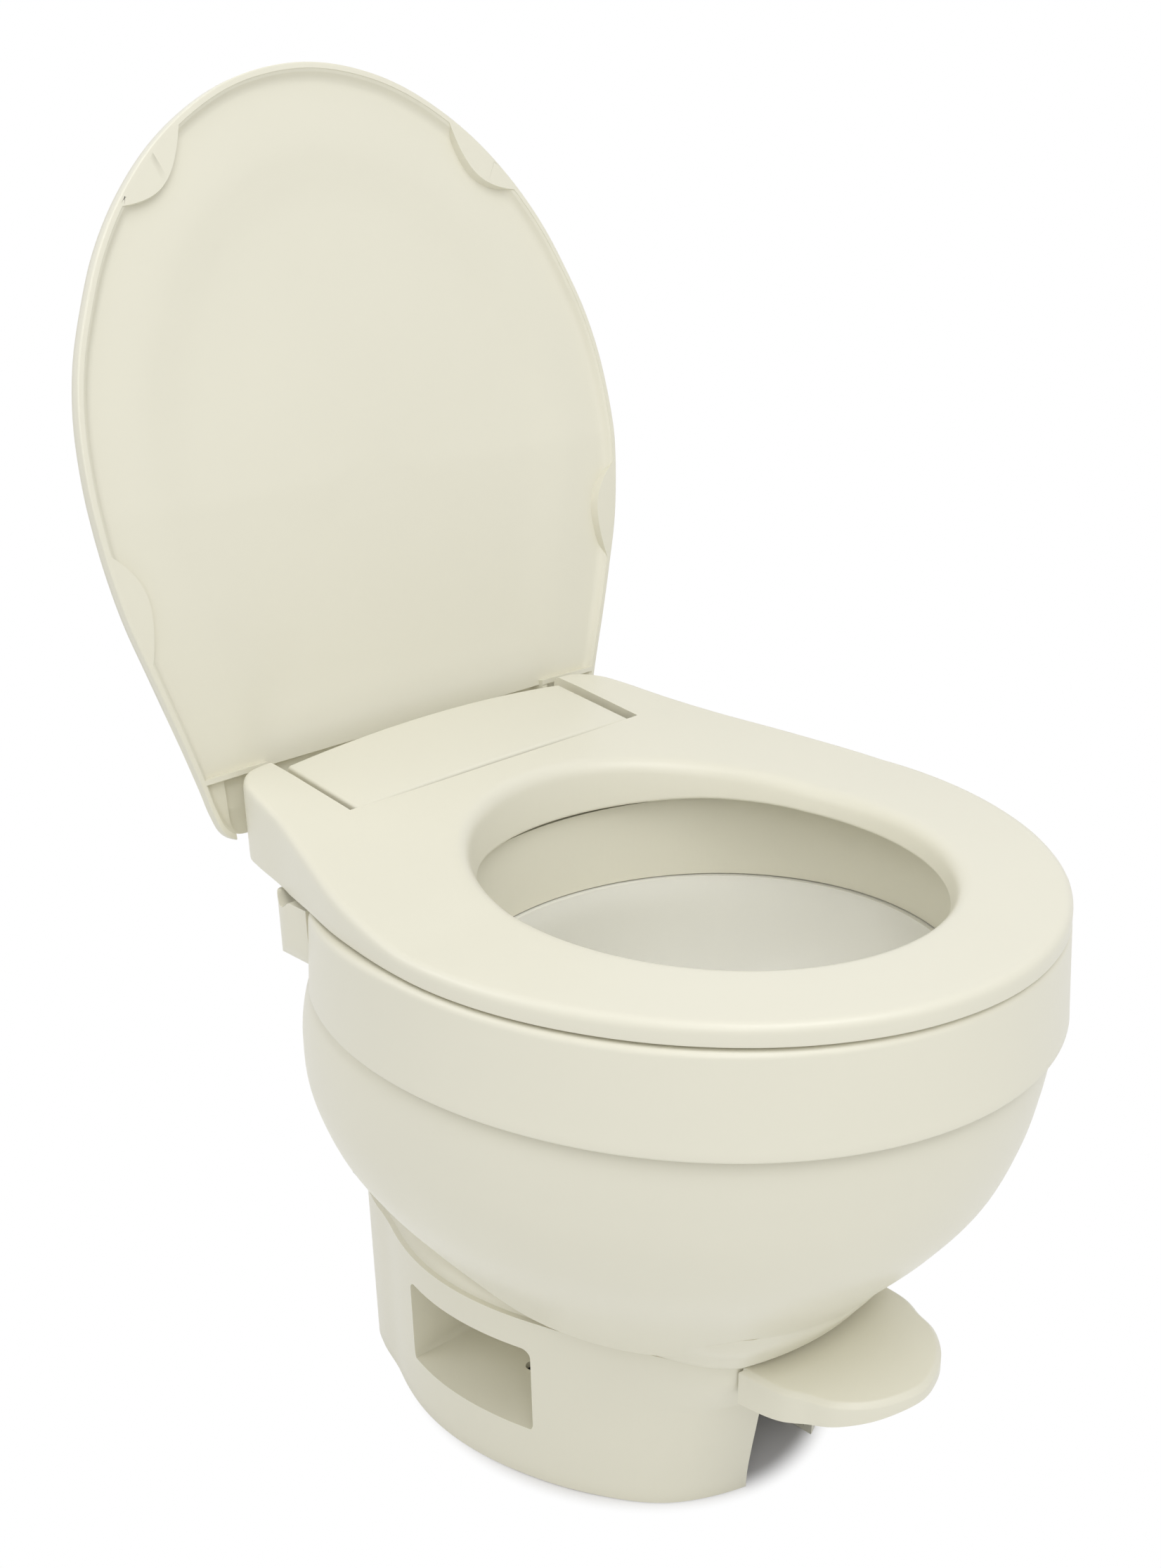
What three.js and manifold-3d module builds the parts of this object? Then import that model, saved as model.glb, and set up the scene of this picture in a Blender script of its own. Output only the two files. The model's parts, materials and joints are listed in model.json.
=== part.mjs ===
// A floor standing gravity toilet for a camper, with a foot pedal, a geared waste ball,
// a hinged seat and a hinged lid. Millimetres, +Z up, the front faces -Y.
import * as THREE from "three";
import { mergeVertices } from "three/addons/utils/BufferGeometryUtils.js";
import Module from "manifold-3d";

const wasm = await Module();
wasm.setup();

// Clearances, walls and facet counts
const gap = 0.3; // between pieces that rest on or pass through each other
const runGap = 0.6; // round a turning piece
const over = 2; // how far a cutter runs past what it cuts
const wall = 4; // moulded walls of the body
const skinWall = 3; // thinner walls of covers
const mergeGap = 0.0005;
const bodyFacets = 32;
const roundFacets = 16;
const smallFacets = 8;
const hexFacets = 6;
const degree = Math.PI / 180;

// Main sizes: heights above the floor, reaches from the seat's widest line, where y is 0
const seatHeight = 373.5; // top of the seat at its front
const seatHalfWidth = 189;
const seatFront = 222.7;
const hingeY = 184;
const baseTop = 104;
const baseHalfWidth = 120;
const baseFront = 92;
const baseRear = 199;
const throatY = 52; // throat, waste ball and outlet stand over each other here

// Seat
const earReach = 30; // the ears end this far behind the hinge
const seatRear = hingeY + earReach;
const seatEdgeDepth = 11.5;
const seatEdgeRound = 5;
const notchReach = 47; // the notch for the hinge cover starts this far before the hinge
const notchFront = hingeY - notchReach;
const earInset = 77; // inner face of an ear, from the seat's side
const earInner = seatHalfWidth - earInset;
const ringSide = 69.8; // width of the ring beside, before and behind the opening
const ringFront = 59.4;
const ringRear = 26.2;
const holeShares = [1, -0.0078, 0.0695, -0.0039]; // cosine terms of the opening's radius
const lipDrop = 14.5;
const lipIn = 4;
const earDrop = 12; // extra depth of the ears below the front edge
const earDropEnd = 45; // it is reached this far before the hinge
const earSweep = 41; // the ears stay inside this radius about the hinge pin
const rampRise = 24; // the seat climbs this much from its middle to the hinge
const rampPast = 1;
const rampRun = hingeY + rampPast;
const rampShares = [[0, 0], [0.108, 0.06], [0.324, 0.2], [0.62, 0.47], [0.81, 0.69], [1, 0.89], [1.16, 1.02]];
// Outline of the seat as shares of its half width and of its front or rear reach
const seatEdgeShares = [
  [0, -1], [0.301, -0.953], [0.562, -0.827], [0.763, -0.648], [0.901, -0.441], [0.98, -0.223], [1, 0],
  [0.948, 0.28], [0.857, 0.537], [0.799, 0.701], [0.758, 0.864], [0.737, 0.925], [0.685, 0.98], [0.59, 1], [0, 1],
];
const ribAngles = [24, 72, 100, 126].map((turn) => turn * degree);
const ribThickness = 3;
const seatBumperAngles = [48, 113].map((turn) => turn * degree);
const seatBumperRadius = 7;
const seatBumperHeight = 3.8;
const stemRadius = 2.6;
const stemLength = 5;

// Hinge line, from the ears inwards
const hingeDrop = 7.5; // hinge pin below the seat's top
const hingeZ = seatHeight - hingeDrop;
const hingePinRadius = 4;
const hingePinInEar = 15;
const hingeEye = 10;
const bushRadius = 6;
const bushLength = 8;
const webGap = 0.8;
const webWidth = 3.9;
const lidWebOuter = earInner - webGap;
const lidWebInner = lidWebOuter - webWidth;
const coverSideGap = 1;
const coverHalfWidth = lidWebInner - coverSideGap;
const blockInset = 2.3;
const blockLugOuter = coverHalfWidth - blockInset;
const blockLugWidth = 14;
const hingePinInner = blockLugOuter - blockLugWidth;
const hingePinOuter = earInner + hingePinInEar;

// Hinge cover and its block
const coverFrontGap = 0.5;
const coverFront = notchFront + coverFrontGap;
const coverRearReach = 19.3;
const coverRear = hingeY + coverRearReach;
const coverFrontRise = 12.3; // above the seat's top at its front
const coverFrontZ = seatHeight + coverFrontRise;
const coverRearRise = 20.8;
const coverRearZ = seatHeight + coverRearRise;
const coverFrontCrown = 2;
const coverRearCrown = 6;
const coverSkirt = 7;
const coverRound = 2;
const coverSweep = Math.hypot(hingeY - coverFront, coverFrontZ + coverFrontCrown - hingeZ) + runGap;
const coverReach = Math.hypot(coverRearReach, coverRearZ + coverRearCrown - hingeZ);
const blockPlate = 6;
const blockEye = 11;
const blockRibInset = 44;
const blockRibX = blockLugOuter - blockRibInset;
const blockEyeStart = -85 * degree; // the eye leaves its lug at the front and meets it again at the rear
const blockEyeEnd = 175 * degree;
const hingeScrewX = blockRibX / 2;
const hingeScrewReach = 38; // the screws stand this far before the hinge
const hingeScrewY = hingeY - hingeScrewReach;
const screwHeadRadius = 4.6;
const screwHeadHeight = 3;
const screwRadius = 2.2;
const screwLength = 12;

// Lid, drawn closed and then opened
const lidOpen = 101.5; // degrees from the drawing to its rest, leaning back
const lidSideInset = 0.3; // the lid is this much narrower than the seat on each side
const lidHalfWidth = seatHalfWidth - lidSideInset;
const lidFrontReach = 2.7;
const lidFront = seatFront + lidFrontReach;
const lidTail = 5.5; // behind the hinge
const lidRear = hingeY + lidTail;
const lidGap = 3.5; // between the seat's top and the lid's rim
const lidFrontDepth = 16;
const lidRearDepth = 12.7;
const lidRimFace = 4;
const lidSlopeRun = 8;
const lidSlopeDepth = 5.2;
const lidSlopeShares = [[0, 0], [0.2, 0.4], [0.5, 0.82], [1, 1]]; // run and depth from rim to panel
const panelDish = 4;
const lidPanelShares = [[0.88, 0.08], [0.77, 0.2], [0.7, 0.45], [0.5, 0.85], [0.2, 1]]; // radius and dish
const lidShellShares = [
  // radius and depth of the outer face, from the rim to the crown
  [1, 0.42], [0.985, 0.7], [0.96, 0.86], [0.91, 0.93], [0.8, 0.96], [0.5, 0.99], [0.2, 1],
];
const lidPocketReach = 35; // the hollow ends over the ears start this far before the hinge
const lidPocketFront = hingeY - lidPocketReach;
const lidPocketEndShare = 0.72;
const lidCentralInset = 6.5;
const lidCentralRear = hingeY - lidCentralInset;
const lidEdgeShares = [
  [0, -1], [0.144, -0.989], [0.294, -0.956], [0.443, -0.896], [0.589, -0.81], [0.719, -0.7], [0.817, -0.586],
  [0.888, -0.47], [0.946, -0.352], [0.982, -0.232], [0.998, -0.111], [1, 0], [0.985, 0.154], [0.959, 0.296],
  [0.919, 0.437], [0.877, 0.579], [0.834, 0.721], [0.806, 0.82], [0.785, 0.9], [0.757, 0.965], [0.703, 1],
  [0.55, 1], [0, 1],
];
const lidPadAngles = [38, 113].map((turn) => turn * degree);
const lidPadSpan = 9.2 * degree;
const lidPadWidth = 14;
const lidPadDraft = 4;

// Rim band and rear deck
const bandOverhang = 6; // wider than the seat on each side
const bandHalfWidth = seatHalfWidth + bandOverhang;
const bandFrontReach = 2.1;
const bandFront = seatFront + bandFrontReach;
const bandShares = [1, 0.0312, 0.0514, 0.0107]; // cosine terms of the outline's radius
const rimGap = 1.6; // between the seat's underside and the rim's top
const bandDepth = 55.9;
const bandBottom = seatHeight - seatEdgeDepth - rimGap - bandDepth;
const bandFlare = 3;
const bandRound = 4;
const bandRearInset = 51; // before the hinge
const bandRear = hingeY - bandRearInset;
const rearBend = 24; // over this length the outline bends into its rear limit
const rimSide = 46.5; // from the band's outline to its opening, beside, before and behind
const rimFront = 56.8;
const rimRear = 21;
const skirtHalfWidth = bandHalfWidth - rimSide;
const openingFront = bandFront - rimFront;
const openingRear = bandRear - rimRear;
const openingCentreY = (openingRear - openingFront) / 2;
const skirtHalfLength = (openingRear + openingFront) / 2;
const skirtBelow = 3.2;
const skirtBottom = bandBottom - skirtBelow;
const deckInset = 31; // from the seat's side
const deckHalfWidth = seatHalfWidth - deckInset;
const deckRearInset = 21; // before the hinge
const deckRear = hingeY - deckRearInset;
const deckLength = 43;
const deckFront = deckRear - deckLength;
const deckDrop = 25.5; // below the seat's top at its front
const deckTop = seatHeight - deckDrop;
const deckRound = 9;
const deckCorner = 12.6;
const scoopDepth = 5;
const scoopWidth = 18;
const nozzleAngle = 90 * degree;
const nozzleDrop = 12;
const nozzleZ = deckTop - nozzleDrop;
const nozzleRadius = 6;
const nozzleReach = 7;
const nozzleFlange = 3;
const nozzleSlot = 2.4;

// Outer bowl shell: height, share of the band outline, rearward shift and rear fullness at each level
const shellOverlap = 8.5;
const shellTop = bandBottom + shellOverlap;
const shellRise = 14;
const shellBottom = baseTop + shellRise;
const shellRearGap = 5;
const shellRear = deckRear - shellRearGap;
const shellBelly = 20; // the rear bulges this far under the deck
const shellQuarter = 12; // and its corners fill out this far
const shellWall = 3.6;
const shellShift = 12;
const shellLevels = [
  [1, 0.965, 0.17, 0], [0.955, 0.967, 0.17, 0.3], [0.89, 0.983, 0.33, 0.65], [0.77, 0.983, 0.6, 0.95],
  [0.63, 0.966, 0.82, 1], [0.5, 0.925, 0.85, 0.95], [0.37, 0.855, 0.93, 0.8], [0.24, 0.765, 1, 0.55],
  [0.13, 0.682, 0.98, 0.3], [0.04, 0.61, 0.82, 0.1], [0, 0.56, 0.67, 0],
];
const shellFlange = 3.5;
const shellMouthShare = 0.53;
const shellMouthShift = 13;

// Waste ball, its housing and its shafts
const shaftRise = 34; // the ball's axis above the base's wall
const shaftZ = baseTop + shaftRise;
const ballRadius = 48;
const ballWall = 3.6;
const ballHalfAngle = 46 * degree;
const hubRadius = 10;
const hubLength = 10;
const hubInner = ballRadius - hubLength;
const hubFloor = 2;
const squareHalf = 3.5;
const shaftRadius = 5;
const ballRoom = 3;
const canInner = ballRadius + ballRoom;
const canOuter = canInner + skinWall;
const canDrop = 55.6;
const canBottom = shaftZ - canDrop;
const canFloor = 4;
const bossLength = 6;
const bossRadius = 13;
const bossOuter = canOuter + bossLength;
const stubLength = 14;
const shaftEnd = bossOuter + stubLength;
const shaftCap = 3;
const oRingRadius = 7.4;
const oRingWidth = 3.5;
const flangeReach = 12;
const flangeRadius = canOuter + flangeReach;
const flangeDip = 16; // below the ball's crown
const flangeThickness = 8.8;
const flangeBottom = shaftZ + ballRadius - flangeDip;
const flangeTop = flangeBottom + flangeThickness;
const throatInset = 14;
const throatRadius = ballRadius - throatInset;
const sealDepth = 4.3;
const sealSeatZ = flangeTop - sealDepth;
const sealOverlap = 14;
const sealRadius = throatRadius + sealOverlap;
const sealLip = 2.5;
const sealReach = 3.8;
const sealInner = throatRadius - sealReach;
const neckInset = 9.5;
const neckInner = ballRadius - neckInset;
const neckWall = 3.5;
const neckOuter = neckInner + neckWall;
const neckBottom = 9;
const bowlFlange = 4.2;
const bowlFlangeTop = flangeTop + bowlFlange;
const throatScrewPitch = (canOuter + flangeRadius) / 2;
const floorSealGap = 1;
const floorSealInner = neckOuter + floorSealGap;
const floorSealWidth = 12;
const floorSealOuter = floorSealInner + floorSealWidth;
const floorSealHeight = 16;
const floorSealBevel = 2;

// Inner bowl: sections from the ledge under the rim down to the throat
const bowlSideInset = 2.5;
const bowlHalfWidth = skirtHalfWidth - bowlSideInset;
const bowlEndInset = 3;
const bowlHalfLength = skirtHalfLength - bowlEndInset;
const ledgeGap = 0.8;
const ledgeZ = skirtBottom - ledgeGap;
const ledgeReach = 12;
const bowlWall = 3.5;
const bowlShares = [
  // height, half width and half length from throat to ledge, way back to the throat
  [1, 1, 1, 0], [0.9, 0.95, 0.953, 0.07], [0.68, 0.84, 0.844, 0.28], [0.46, 0.655, 0.657, 0.57],
  [0.28, 0.433, 0.428, 0.8], [0.14, 0.161, 0.155, 0.95], [0.07, 0.038, 0.04, 1], [0, 0, 0, 1],
];

// Gears: the sector on the pedal's lever drives the pinion on the ball's shaft
const toothModule = 1.5;
const pinionTeeth = 22;
const sectorTeeth = 106; // teeth of the full wheel that the sector is cut from
const sectorToothCount = 10;
const pressureAngle = 20 * degree;
const meshAngle = 20.364 * degree; // from the pedal's pivot up to the ball's axis
const backlashShare = 0.1; // of a module
const dedendumShare = 1.25;
const flankSteps = 2;
const gearGap = 1;
const gearWidth = 8;
const pinionInner = bossOuter + gearGap;
const sectorInner = pinionInner + gearGap;
const sectorWidth = 5;
const sectorHoleShare = 0.6;
const sectorFlare = 28.6 * degree;

// Pedal
const gearDistance = ((sectorTeeth + pinionTeeth) * toothModule) / 2;
const pivotY = throatY - gearDistance * Math.cos(meshAngle);
const pivotZ = shaftZ - gearDistance * Math.sin(meshAngle);
const pedalHalfWidth = 58;
const neckOverhang = 20; // the neck of the base stands this far before its foot
const neckFront = baseFront + neckOverhang;
const pedalTuck = 8; // tips of the crescent behind the neck's front
const pedalInner = neckFront - pedalTuck;
const pedalHollow = 13; // depth of the crescent's inner arc
const pedalReach = 74;
const pedalFront = neckFront + pedalReach;
const pedalRise = 8;
const pedalTop = baseTop + pedalRise;
const pedalCap = 4.2;
const pedalChamfer = 3.5;
const pedalSkirt = 24;
const pedalTipSkirt = 9;
const pedalOutlineShares = [[1, 0], [0.965, 0.35], [0.87, 0.51], [0.78, 0.68], [0.56, 0.85], [0.3, 0.95], [0, 1]];
const leverHalfWidth = 18;
const leverTop = pedalTop - pedalCap;
const leverThickness = 11;
const leverInset = 18;
const leverFront = pedalFront - leverInset;
const leverNose = 12;
const leverHub = 9;
const sectorRim = 2;
const bearingHalf = 11;
const bearingLeftFace = 43;
const bearingGap = 4;
const bearingRightFace = sectorInner + sectorWidth + bearingGap;
const hubLeftGap = 3;
const hubRightGap = 2;
const leverHubLeft = hubLeftGap - bearingLeftFace;
const leverHubRight = bearingRightFace - hubRightGap;
const pedalPinRadius = 4;
const pinLeftDepth = 21;
const pedalPinLeft = -bearingLeftFace - pinLeftDepth;
const pinRightDepth = 10;
const pedalPinRight = bearingRightFace + pinRightDepth;
const springLength = 17;
const springStart = 1;
const springLeft = leverHubLeft + springStart;
const springRight = springLeft + springLength;
const springRadius = 12;
const springWire = 1.1;
const springTurns = 5;
const springSteps = 10;
const springSides = 5;
const springLeg = 17;

// Pedestal base
const footWidth = 12;
const footHeight = 4;
const baseEdgeShares = [
  [0, -1], [0.25, -0.946], [0.592, -0.685], [0.814, -0.25], [0.938, 0.085], [0.992, 0.251], [1, 0.392],
  [0.975, 0.513], [0.925, 0.623], [0.858, 0.729], [0.79, 0.854], [0.708, 0.94], [0.5, 0.99], [0, 1],
];
const neckShares = [[0, 0], [0.12, 0.05], [0.6, 0.5], [1, 0.85]]; // height and overhang of the neck
// height above baseTop as a share of shoulderRise, inset as a share of shoulderRun
const shoulderRise = 22;
const shoulderRun = 44;
const shoulderShares = [[0, 0], [0.3, 0.05], [0.52, 0.14], [0.68, 0.28], [0.82, 0.52], [1, 1]];
const pocketRoom = 6;
const pocketInner = canOuter + pocketRoom;
const pocketFront = 8;
const pocketLength = 101;
const pocketRear = pocketFront + pocketLength;
const pocketFloor = 35.5;
const pocketSlope = 2.5; // the floor sinks this much towards the middle
const pocketDrop = 12;
const pocketTop = baseTop - pocketDrop;
const pocketCorner = 6;
const pocketWall = 3;
const notchHalfWidth = 30;
const bridgeDrop = 10;
const bridgeTop = pocketTop - bridgeDrop;
const boltRadius = 4.4;
const boltInset = 10;
const boltX = pocketInner + boltInset;

// Water path
const camOffset = 6;
const camX = bossOuter + camOffset;
const camWidth = 8;
const camBase = 10;
const plungerStroke = 8;
const camGap = 0.7;
const plungerRadius = 4;
const plungerHead = 2;
const plungerHeadLength = 4;
const plungerReach = 32; // places of the valve behind the ball's axis
const plungerRear = throatY + plungerReach;
const valveReach = 20;
const valveFront = throatY + valveReach;
const valveLength = 28;
const valveRear = valveFront + valveLength;
const valveRadius = 11;
const valveBevel = 3;
const inletPortReach = 28;
const inletPortY = throatY + inletPortReach;
const inletDrop = 35;
const inletZ = shaftZ - inletDrop;
const inletRadius = 6;
const inletSleeve = 1;
const inletBore = 3.8;
const inletReach = 8;
const inletEnd = baseRear + inletReach;
const inletNutRadius = 11;
const inletNutLength = 13;
const inletNutPast = 8;
const outletPortReach = 40;
const outletPortY = throatY + outletPortReach;
const barbRadius = 4.2;
const barbLength = 13;
const hoseBore = 4.6;
const hoseRadius = 6.6;
const upperHoseRadius = 5.6;
const hoseSides = 8;
const hoseSeat = 3; // height of the shoulder under a barb
const breakerInset = 62;
const breakerX = breakerInset - deckHalfWidth;
const breakerBack = 29;
const breakerY = deckRear - breakerBack;
const breakerDrop = 66;
const breakerBottom = deckTop - breakerDrop;
const breakerRadius = 13;
const breakerBevel = 3;
const breakerCap = 6;
const breakerHeight = 40; // from its foot to its outlet
const breakerOutletZ = breakerBottom + breakerHeight;
const lowerHoseShares = [[0.22, 0], [0.34, 0.1], [0.5, 0.5], [0.66, 0.9], [0.78, 1]]; // height and way across
const upperHoseShares = [
  [0, 0, 0], [0.3, 0.04, 0.05], [0.56, 0.18, 0.2], [0.82, 0.4, 0.45], [1.08, 0.64, 0.75], [1.18, 0.8, 0.92],
  [1.22, 0.94, 1], [1.15, 0.982, 1], [1, 1, 1],
];

// Materials
function look(color, roughness, metalness = 0) {
  return new THREE.MeshStandardMaterial({ color, roughness, metalness });
}

const plastic = () => look(0xe6e3d2, 0.38);
const paleSeal = () => look(0xd9d6c6, 0.55);
const darkRubber = () => look(0x2b2b2b, 0.8);
const greyNylon = () => look(0x8e8f8c, 0.5);
const steel = () => look(0xb9bcc0, 0.3, 1);
const brass = () => look(0xb79a52, 0.35, 1);
const clearHose = () => look(0xc9ccc6, 0.4);

// Solids from points and faces
function solidOf(geometry) {
  const flat = geometry.index ? geometry.toNonIndexed() : geometry;
  const bare = new THREE.BufferGeometry().setAttribute("position", flat.getAttribute("position"));
  const merged = mergeVertices(bare, mergeGap);
  const source = merged.index.array;
  const kept = [];
  for (let i = 0; i < source.length; i += 3) {
    const [a, b, c] = [source[i], source[i + 1], source[i + 2]];
    if (a !== b && b !== c && a !== c) kept.push(a, b, c);
  }
  const build = (order) => {
    const triVerts = new Uint32Array(order);
    return new wasm.Manifold(
      new wasm.Mesh({ numProp: 3, vertProperties: merged.attributes.position.array, triVerts }),
    );
  };
  const made = build(kept);
  return made.volume() < 0 ? build(kept.reverse()) : made;
}

function solidFromFaces(points, faces) {
  const geometry = new THREE.BufferGeometry();
  geometry.setAttribute("position", new THREE.Float32BufferAttribute(points.flat(), 3));
  geometry.setIndex(faces);
  return solidOf(geometry);
}

// A skin through rings of points: capped at both ends, or closed on itself
function skin(rings, closed = false) {
  const count = rings[0].length;
  const points = rings.flat();
  const faces = [];
  const spans = closed ? rings.length : rings.length - 1;
  for (let i = 0; i < spans; i++) {
    const a = i * count;
    const b = ((i + 1) % rings.length) * count;
    for (let j = 0; j < count; j++) {
      const k = (j + 1) % count;
      faces.push(a + j, b + j, b + k, a + j, b + k, a + k);
    }
  }
  if (!closed) {
    addCap(points, faces, 0, count, true);
    addCap(points, faces, (rings.length - 1) * count, count, false);
  }
  return solidFromFaces(points, faces);
}

function addCap(points, faces, start, count, flip) {
  const middle = [0, 1, 2].map(
    (axis) => points.slice(start, start + count).reduce((sum, p) => sum + p[axis], 0) / count,
  );
  const hub = points.push(middle) - 1;
  for (let j = 0; j < count; j++) {
    const here = start + j;
    const next = start + ((j + 1) % count);
    if (flip) faces.push(hub, here, next);
    else faces.push(hub, next, here);
  }
}

function join(...solids) {
  return solids.reduce((all, one) => all.add(one));
}

function cut(solid, ...cutters) {
  return cutters.reduce((left, one) => left.subtract(one), solid);
}

// Boxes, bars, plates and turned pieces
function block([x0, x1], [y0, y1], [z0, z1]) {
  const geometry = new THREE.BoxGeometry(x1 - x0, y1 - y0, z1 - z0);
  geometry.translate((x0 + x1) / 2, (y0 + y1) / 2, (z0 + z1) / 2);
  return solidOf(geometry);
}

// Puts (u, v) of a drawing and w along the axis into x, y, z
function place(axis, u, v, w) {
  if (axis === "x") return [w, u, v];
  if (axis === "y") return [u, w, v];
  return [u, v, w];
}

function circle(u, v, radius, sides = roundFacets, turn = 0) {
  return turns(sides).map((angle) => [u + radius * Math.cos(angle + turn), v + radius * Math.sin(angle + turn)]);
}

function arc(u, v, radius, from, to, steps) {
  return Array.from({ length: steps + 1 }, (_, i) => {
    const angle = from + ((to - from) * i) / steps;
    return [u + radius * Math.cos(angle), v + radius * Math.sin(angle)];
  });
}

// The interval between two distances from the middle, on one side of it
function span(side, inner, outer) {
  return side > 0 ? [inner, outer] : [-outer, -inner];
}

function around(middle, half) {
  return [middle - half, middle + half];
}

function bar(axis, u, v, radius, from, to, sides = roundFacets) {
  return skin([from, to].map((w) => circle(u, v, radius, sides).map(([a, b]) => place(axis, a, b, w))));
}

function plate(axis, outline, from, to) {
  const shape = new THREE.Shape(outline.map(([u, v]) => new THREE.Vector2(u, v)));
  const geometry = new THREE.ExtrudeGeometry(shape, { depth: to - from, bevelEnabled: false });
  const spots = geometry.getAttribute("position");
  for (let i = 0; i < spots.count; i++) {
    spots.setXYZ(i, ...place(axis, spots.getX(i), spots.getY(i), spots.getZ(i) + from));
  }
  return solidOf(geometry);
}

// Turned about a line along an axis; a profile [radius, height] with flat ends, or a closed one
function turned(axis, u, v, profile, closed = false, sides = roundFacets) {
  const rings = profile.map(([radius, w]) => circle(u, v, radius, sides).map(([a, b]) => place(axis, a, b, w)));
  return skin(rings, closed);
}

function roundedRectangle([u0, u1], [v0, v1], radius, steps = 4) {
  const [left, right, low, high] = [u0 + radius, u1 - radius, v0 + radius, v1 - radius];
  const corners = [[right, high], [left, high], [left, low], [right, low]];
  return corners.flatMap(([u, v], quarter) =>
    arc(u, v, radius, (quarter * Math.PI) / 2, ((quarter + 1) * Math.PI) / 2, steps));
}

// A slab through layers of one outline, from bottom to top, each at its own height
function slab(layers) {
  const flat = layers[0][0].map(([x, y]) => new THREE.Vector2(x, y));
  const turn = THREE.ShapeUtils.isClockWise(flat);
  const rings = layers.map(([outline, height]) => lifted(turn ? [...outline].reverse() : outline, height));
  const count = flat.length;
  const faces = [];
  for (const [ring, top] of [[0, false], [rings.length - 1, true]]) {
    const drawing = rings[ring].map(([x, y]) => new THREE.Vector2(x, y));
    for (const [a, b, c] of THREE.ShapeUtils.triangulateShape(drawing, [])) {
      const corners = top ? [a, b, c] : [a, c, b];
      faces.push(...corners.map((k) => k + ring * count));
    }
  }
  for (let row = 0; row < rings.length - 1; row++) {
    for (let j = 0; j < count; j++) {
      const [here, next] = [row * count + j, row * count + ((j + 1) % count)];
      faces.push(here, next, next + count, here, next + count, here + count);
    }
  }
  return solidFromFaces(rings.flat(), faces);
}

function mirrored(solid) {
  return solid.mirror([1, 0, 0]);
}

// Linear reading of a table of [share, value]
function readTable(table, at) {
  const last = table.length - 1;
  if (at <= table[0][0]) return table[0][1];
  if (at >= table[last][0]) return table[last][1];
  const i = table.findIndex(([share]) => share >= at);
  const [x0, y0] = table[i - 1];
  const [x1, y1] = table[i];
  return y0 + ((y1 - y0) * (at - x0)) / (x1 - x0);
}

// A smooth closed outline from shares of a half width and of its front and rear reach
function outlineFrom(shares, halfWidth, front, rear) {
  const right = shares.map(([a, b]) => [a * halfWidth, b * (b < 0 ? front : rear)]);
  const left = right.slice(1, -1).reverse().map(([x, y]) => [-x, y]);
  const points = [...right, ...left].map(([x, y]) => new THREE.Vector3(x, y, 0));
  const curve = new THREE.CatmullRomCurve3(points, true, "centripetal");
  return curve.getPoints(points.length * 10).slice(0, -1).map((p) => [p.x, p.y]);
}

// Radius of an outline, seen from a centre on the middle line, at an angle counted from the front
function radiusAt(outline, centreY, angle) {
  const direction = [Math.sin(angle), -Math.cos(angle)];
  let best = 0;
  outline.forEach(([x0, y0], i) => {
    const [x1, y1] = outline[(i + 1) % outline.length];
    const [ax, ay, bx, by] = [x0, y0 - centreY, x1, y1 - centreY];
    const sideA = direction[0] * ay - direction[1] * ax;
    const sideB = direction[0] * by - direction[1] * bx;
    if (sideA * sideB > 0 || sideA === sideB) return;
    const t = sideA / (sideA - sideB);
    const reach = (ax + (bx - ax) * t) * direction[0] + (ay + (by - ay) * t) * direction[1];
    best = Math.max(best, reach);
  });
  return best;
}

function turns(count) {
  return Array.from({ length: count }, (_, i) => (i / count) * 2 * Math.PI);
}

function cosineShare(shares, angle) {
  return shares.reduce((sum, share, k) => sum + share * Math.cos(k * angle), 0);
}

// Outline of the seat's opening, from its half width and its front and rear reach
function openingOutline() {
  const [halfWidth, front, rear] = [seatHalfWidth - ringSide, seatFront - ringFront, notchFront - ringRear];
  const [side, ahead, behind] = [Math.PI / 2, 0, Math.PI].map((angle) => cosineShare(holeShares, angle));
  const length = (front + rear) / (ahead + behind);
  const centre = length * ahead - front;
  const outline = turns(4 * bodyFacets).map((angle) => {
    const share = cosineShare(holeShares, angle);
    return [(halfWidth / side) * share * Math.sin(angle), centre - length * share * Math.cos(angle)];
  });
  return [outline, centre];
}

// Angles from the front, closer together round the ears at the rear
function seatAngles() {
  const half = [];
  for (let turn = 0; turn < 132; turn += 12) half.push(turn);
  for (let turn = 132; turn < 160; turn += 5) half.push(turn);
  half.push(168);
  return [...half, 180, ...half.slice(1).reverse().map((turn) => -turn)].map((turn) => turn * degree);
}

// Heights shared by seat, rim and lid
function ramp(y) {
  return rampRise * readTable(rampShares, Math.max(0, y) / rampRun);
}

function seatTopAt(y) {
  return seatHeight + ramp(y);
}

function seatBottomAt(y) {
  const share = Math.min(1, Math.max(0, y) / (hingeY - earDropEnd));
  return seatHeight - seatEdgeDepth - earDrop * share ** 1.5;
}

function rimTopAt(y) {
  return seatBottomAt(y) - rimGap;
}

const [holeOutline, ringCentreY] = openingOutline();
const seatOutline = outlineFrom(seatEdgeShares, seatHalfWidth, seatFront, seatRear);
const lidOutline = outlineFrom(lidEdgeShares, lidHalfWidth, lidFront, lidRear);
const holeAt = (angle) => radiusAt(holeOutline, ringCentreY, angle);
const seatEdgeAt = (angle) => radiusAt(seatOutline, ringCentreY, angle);

// A point at a distance from a centre on the middle line, at an angle counted from the front
function ringPoint(centreY, radius, angle) {
  return [radius * Math.sin(angle), centreY - radius * Math.cos(angle)];
}

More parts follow.
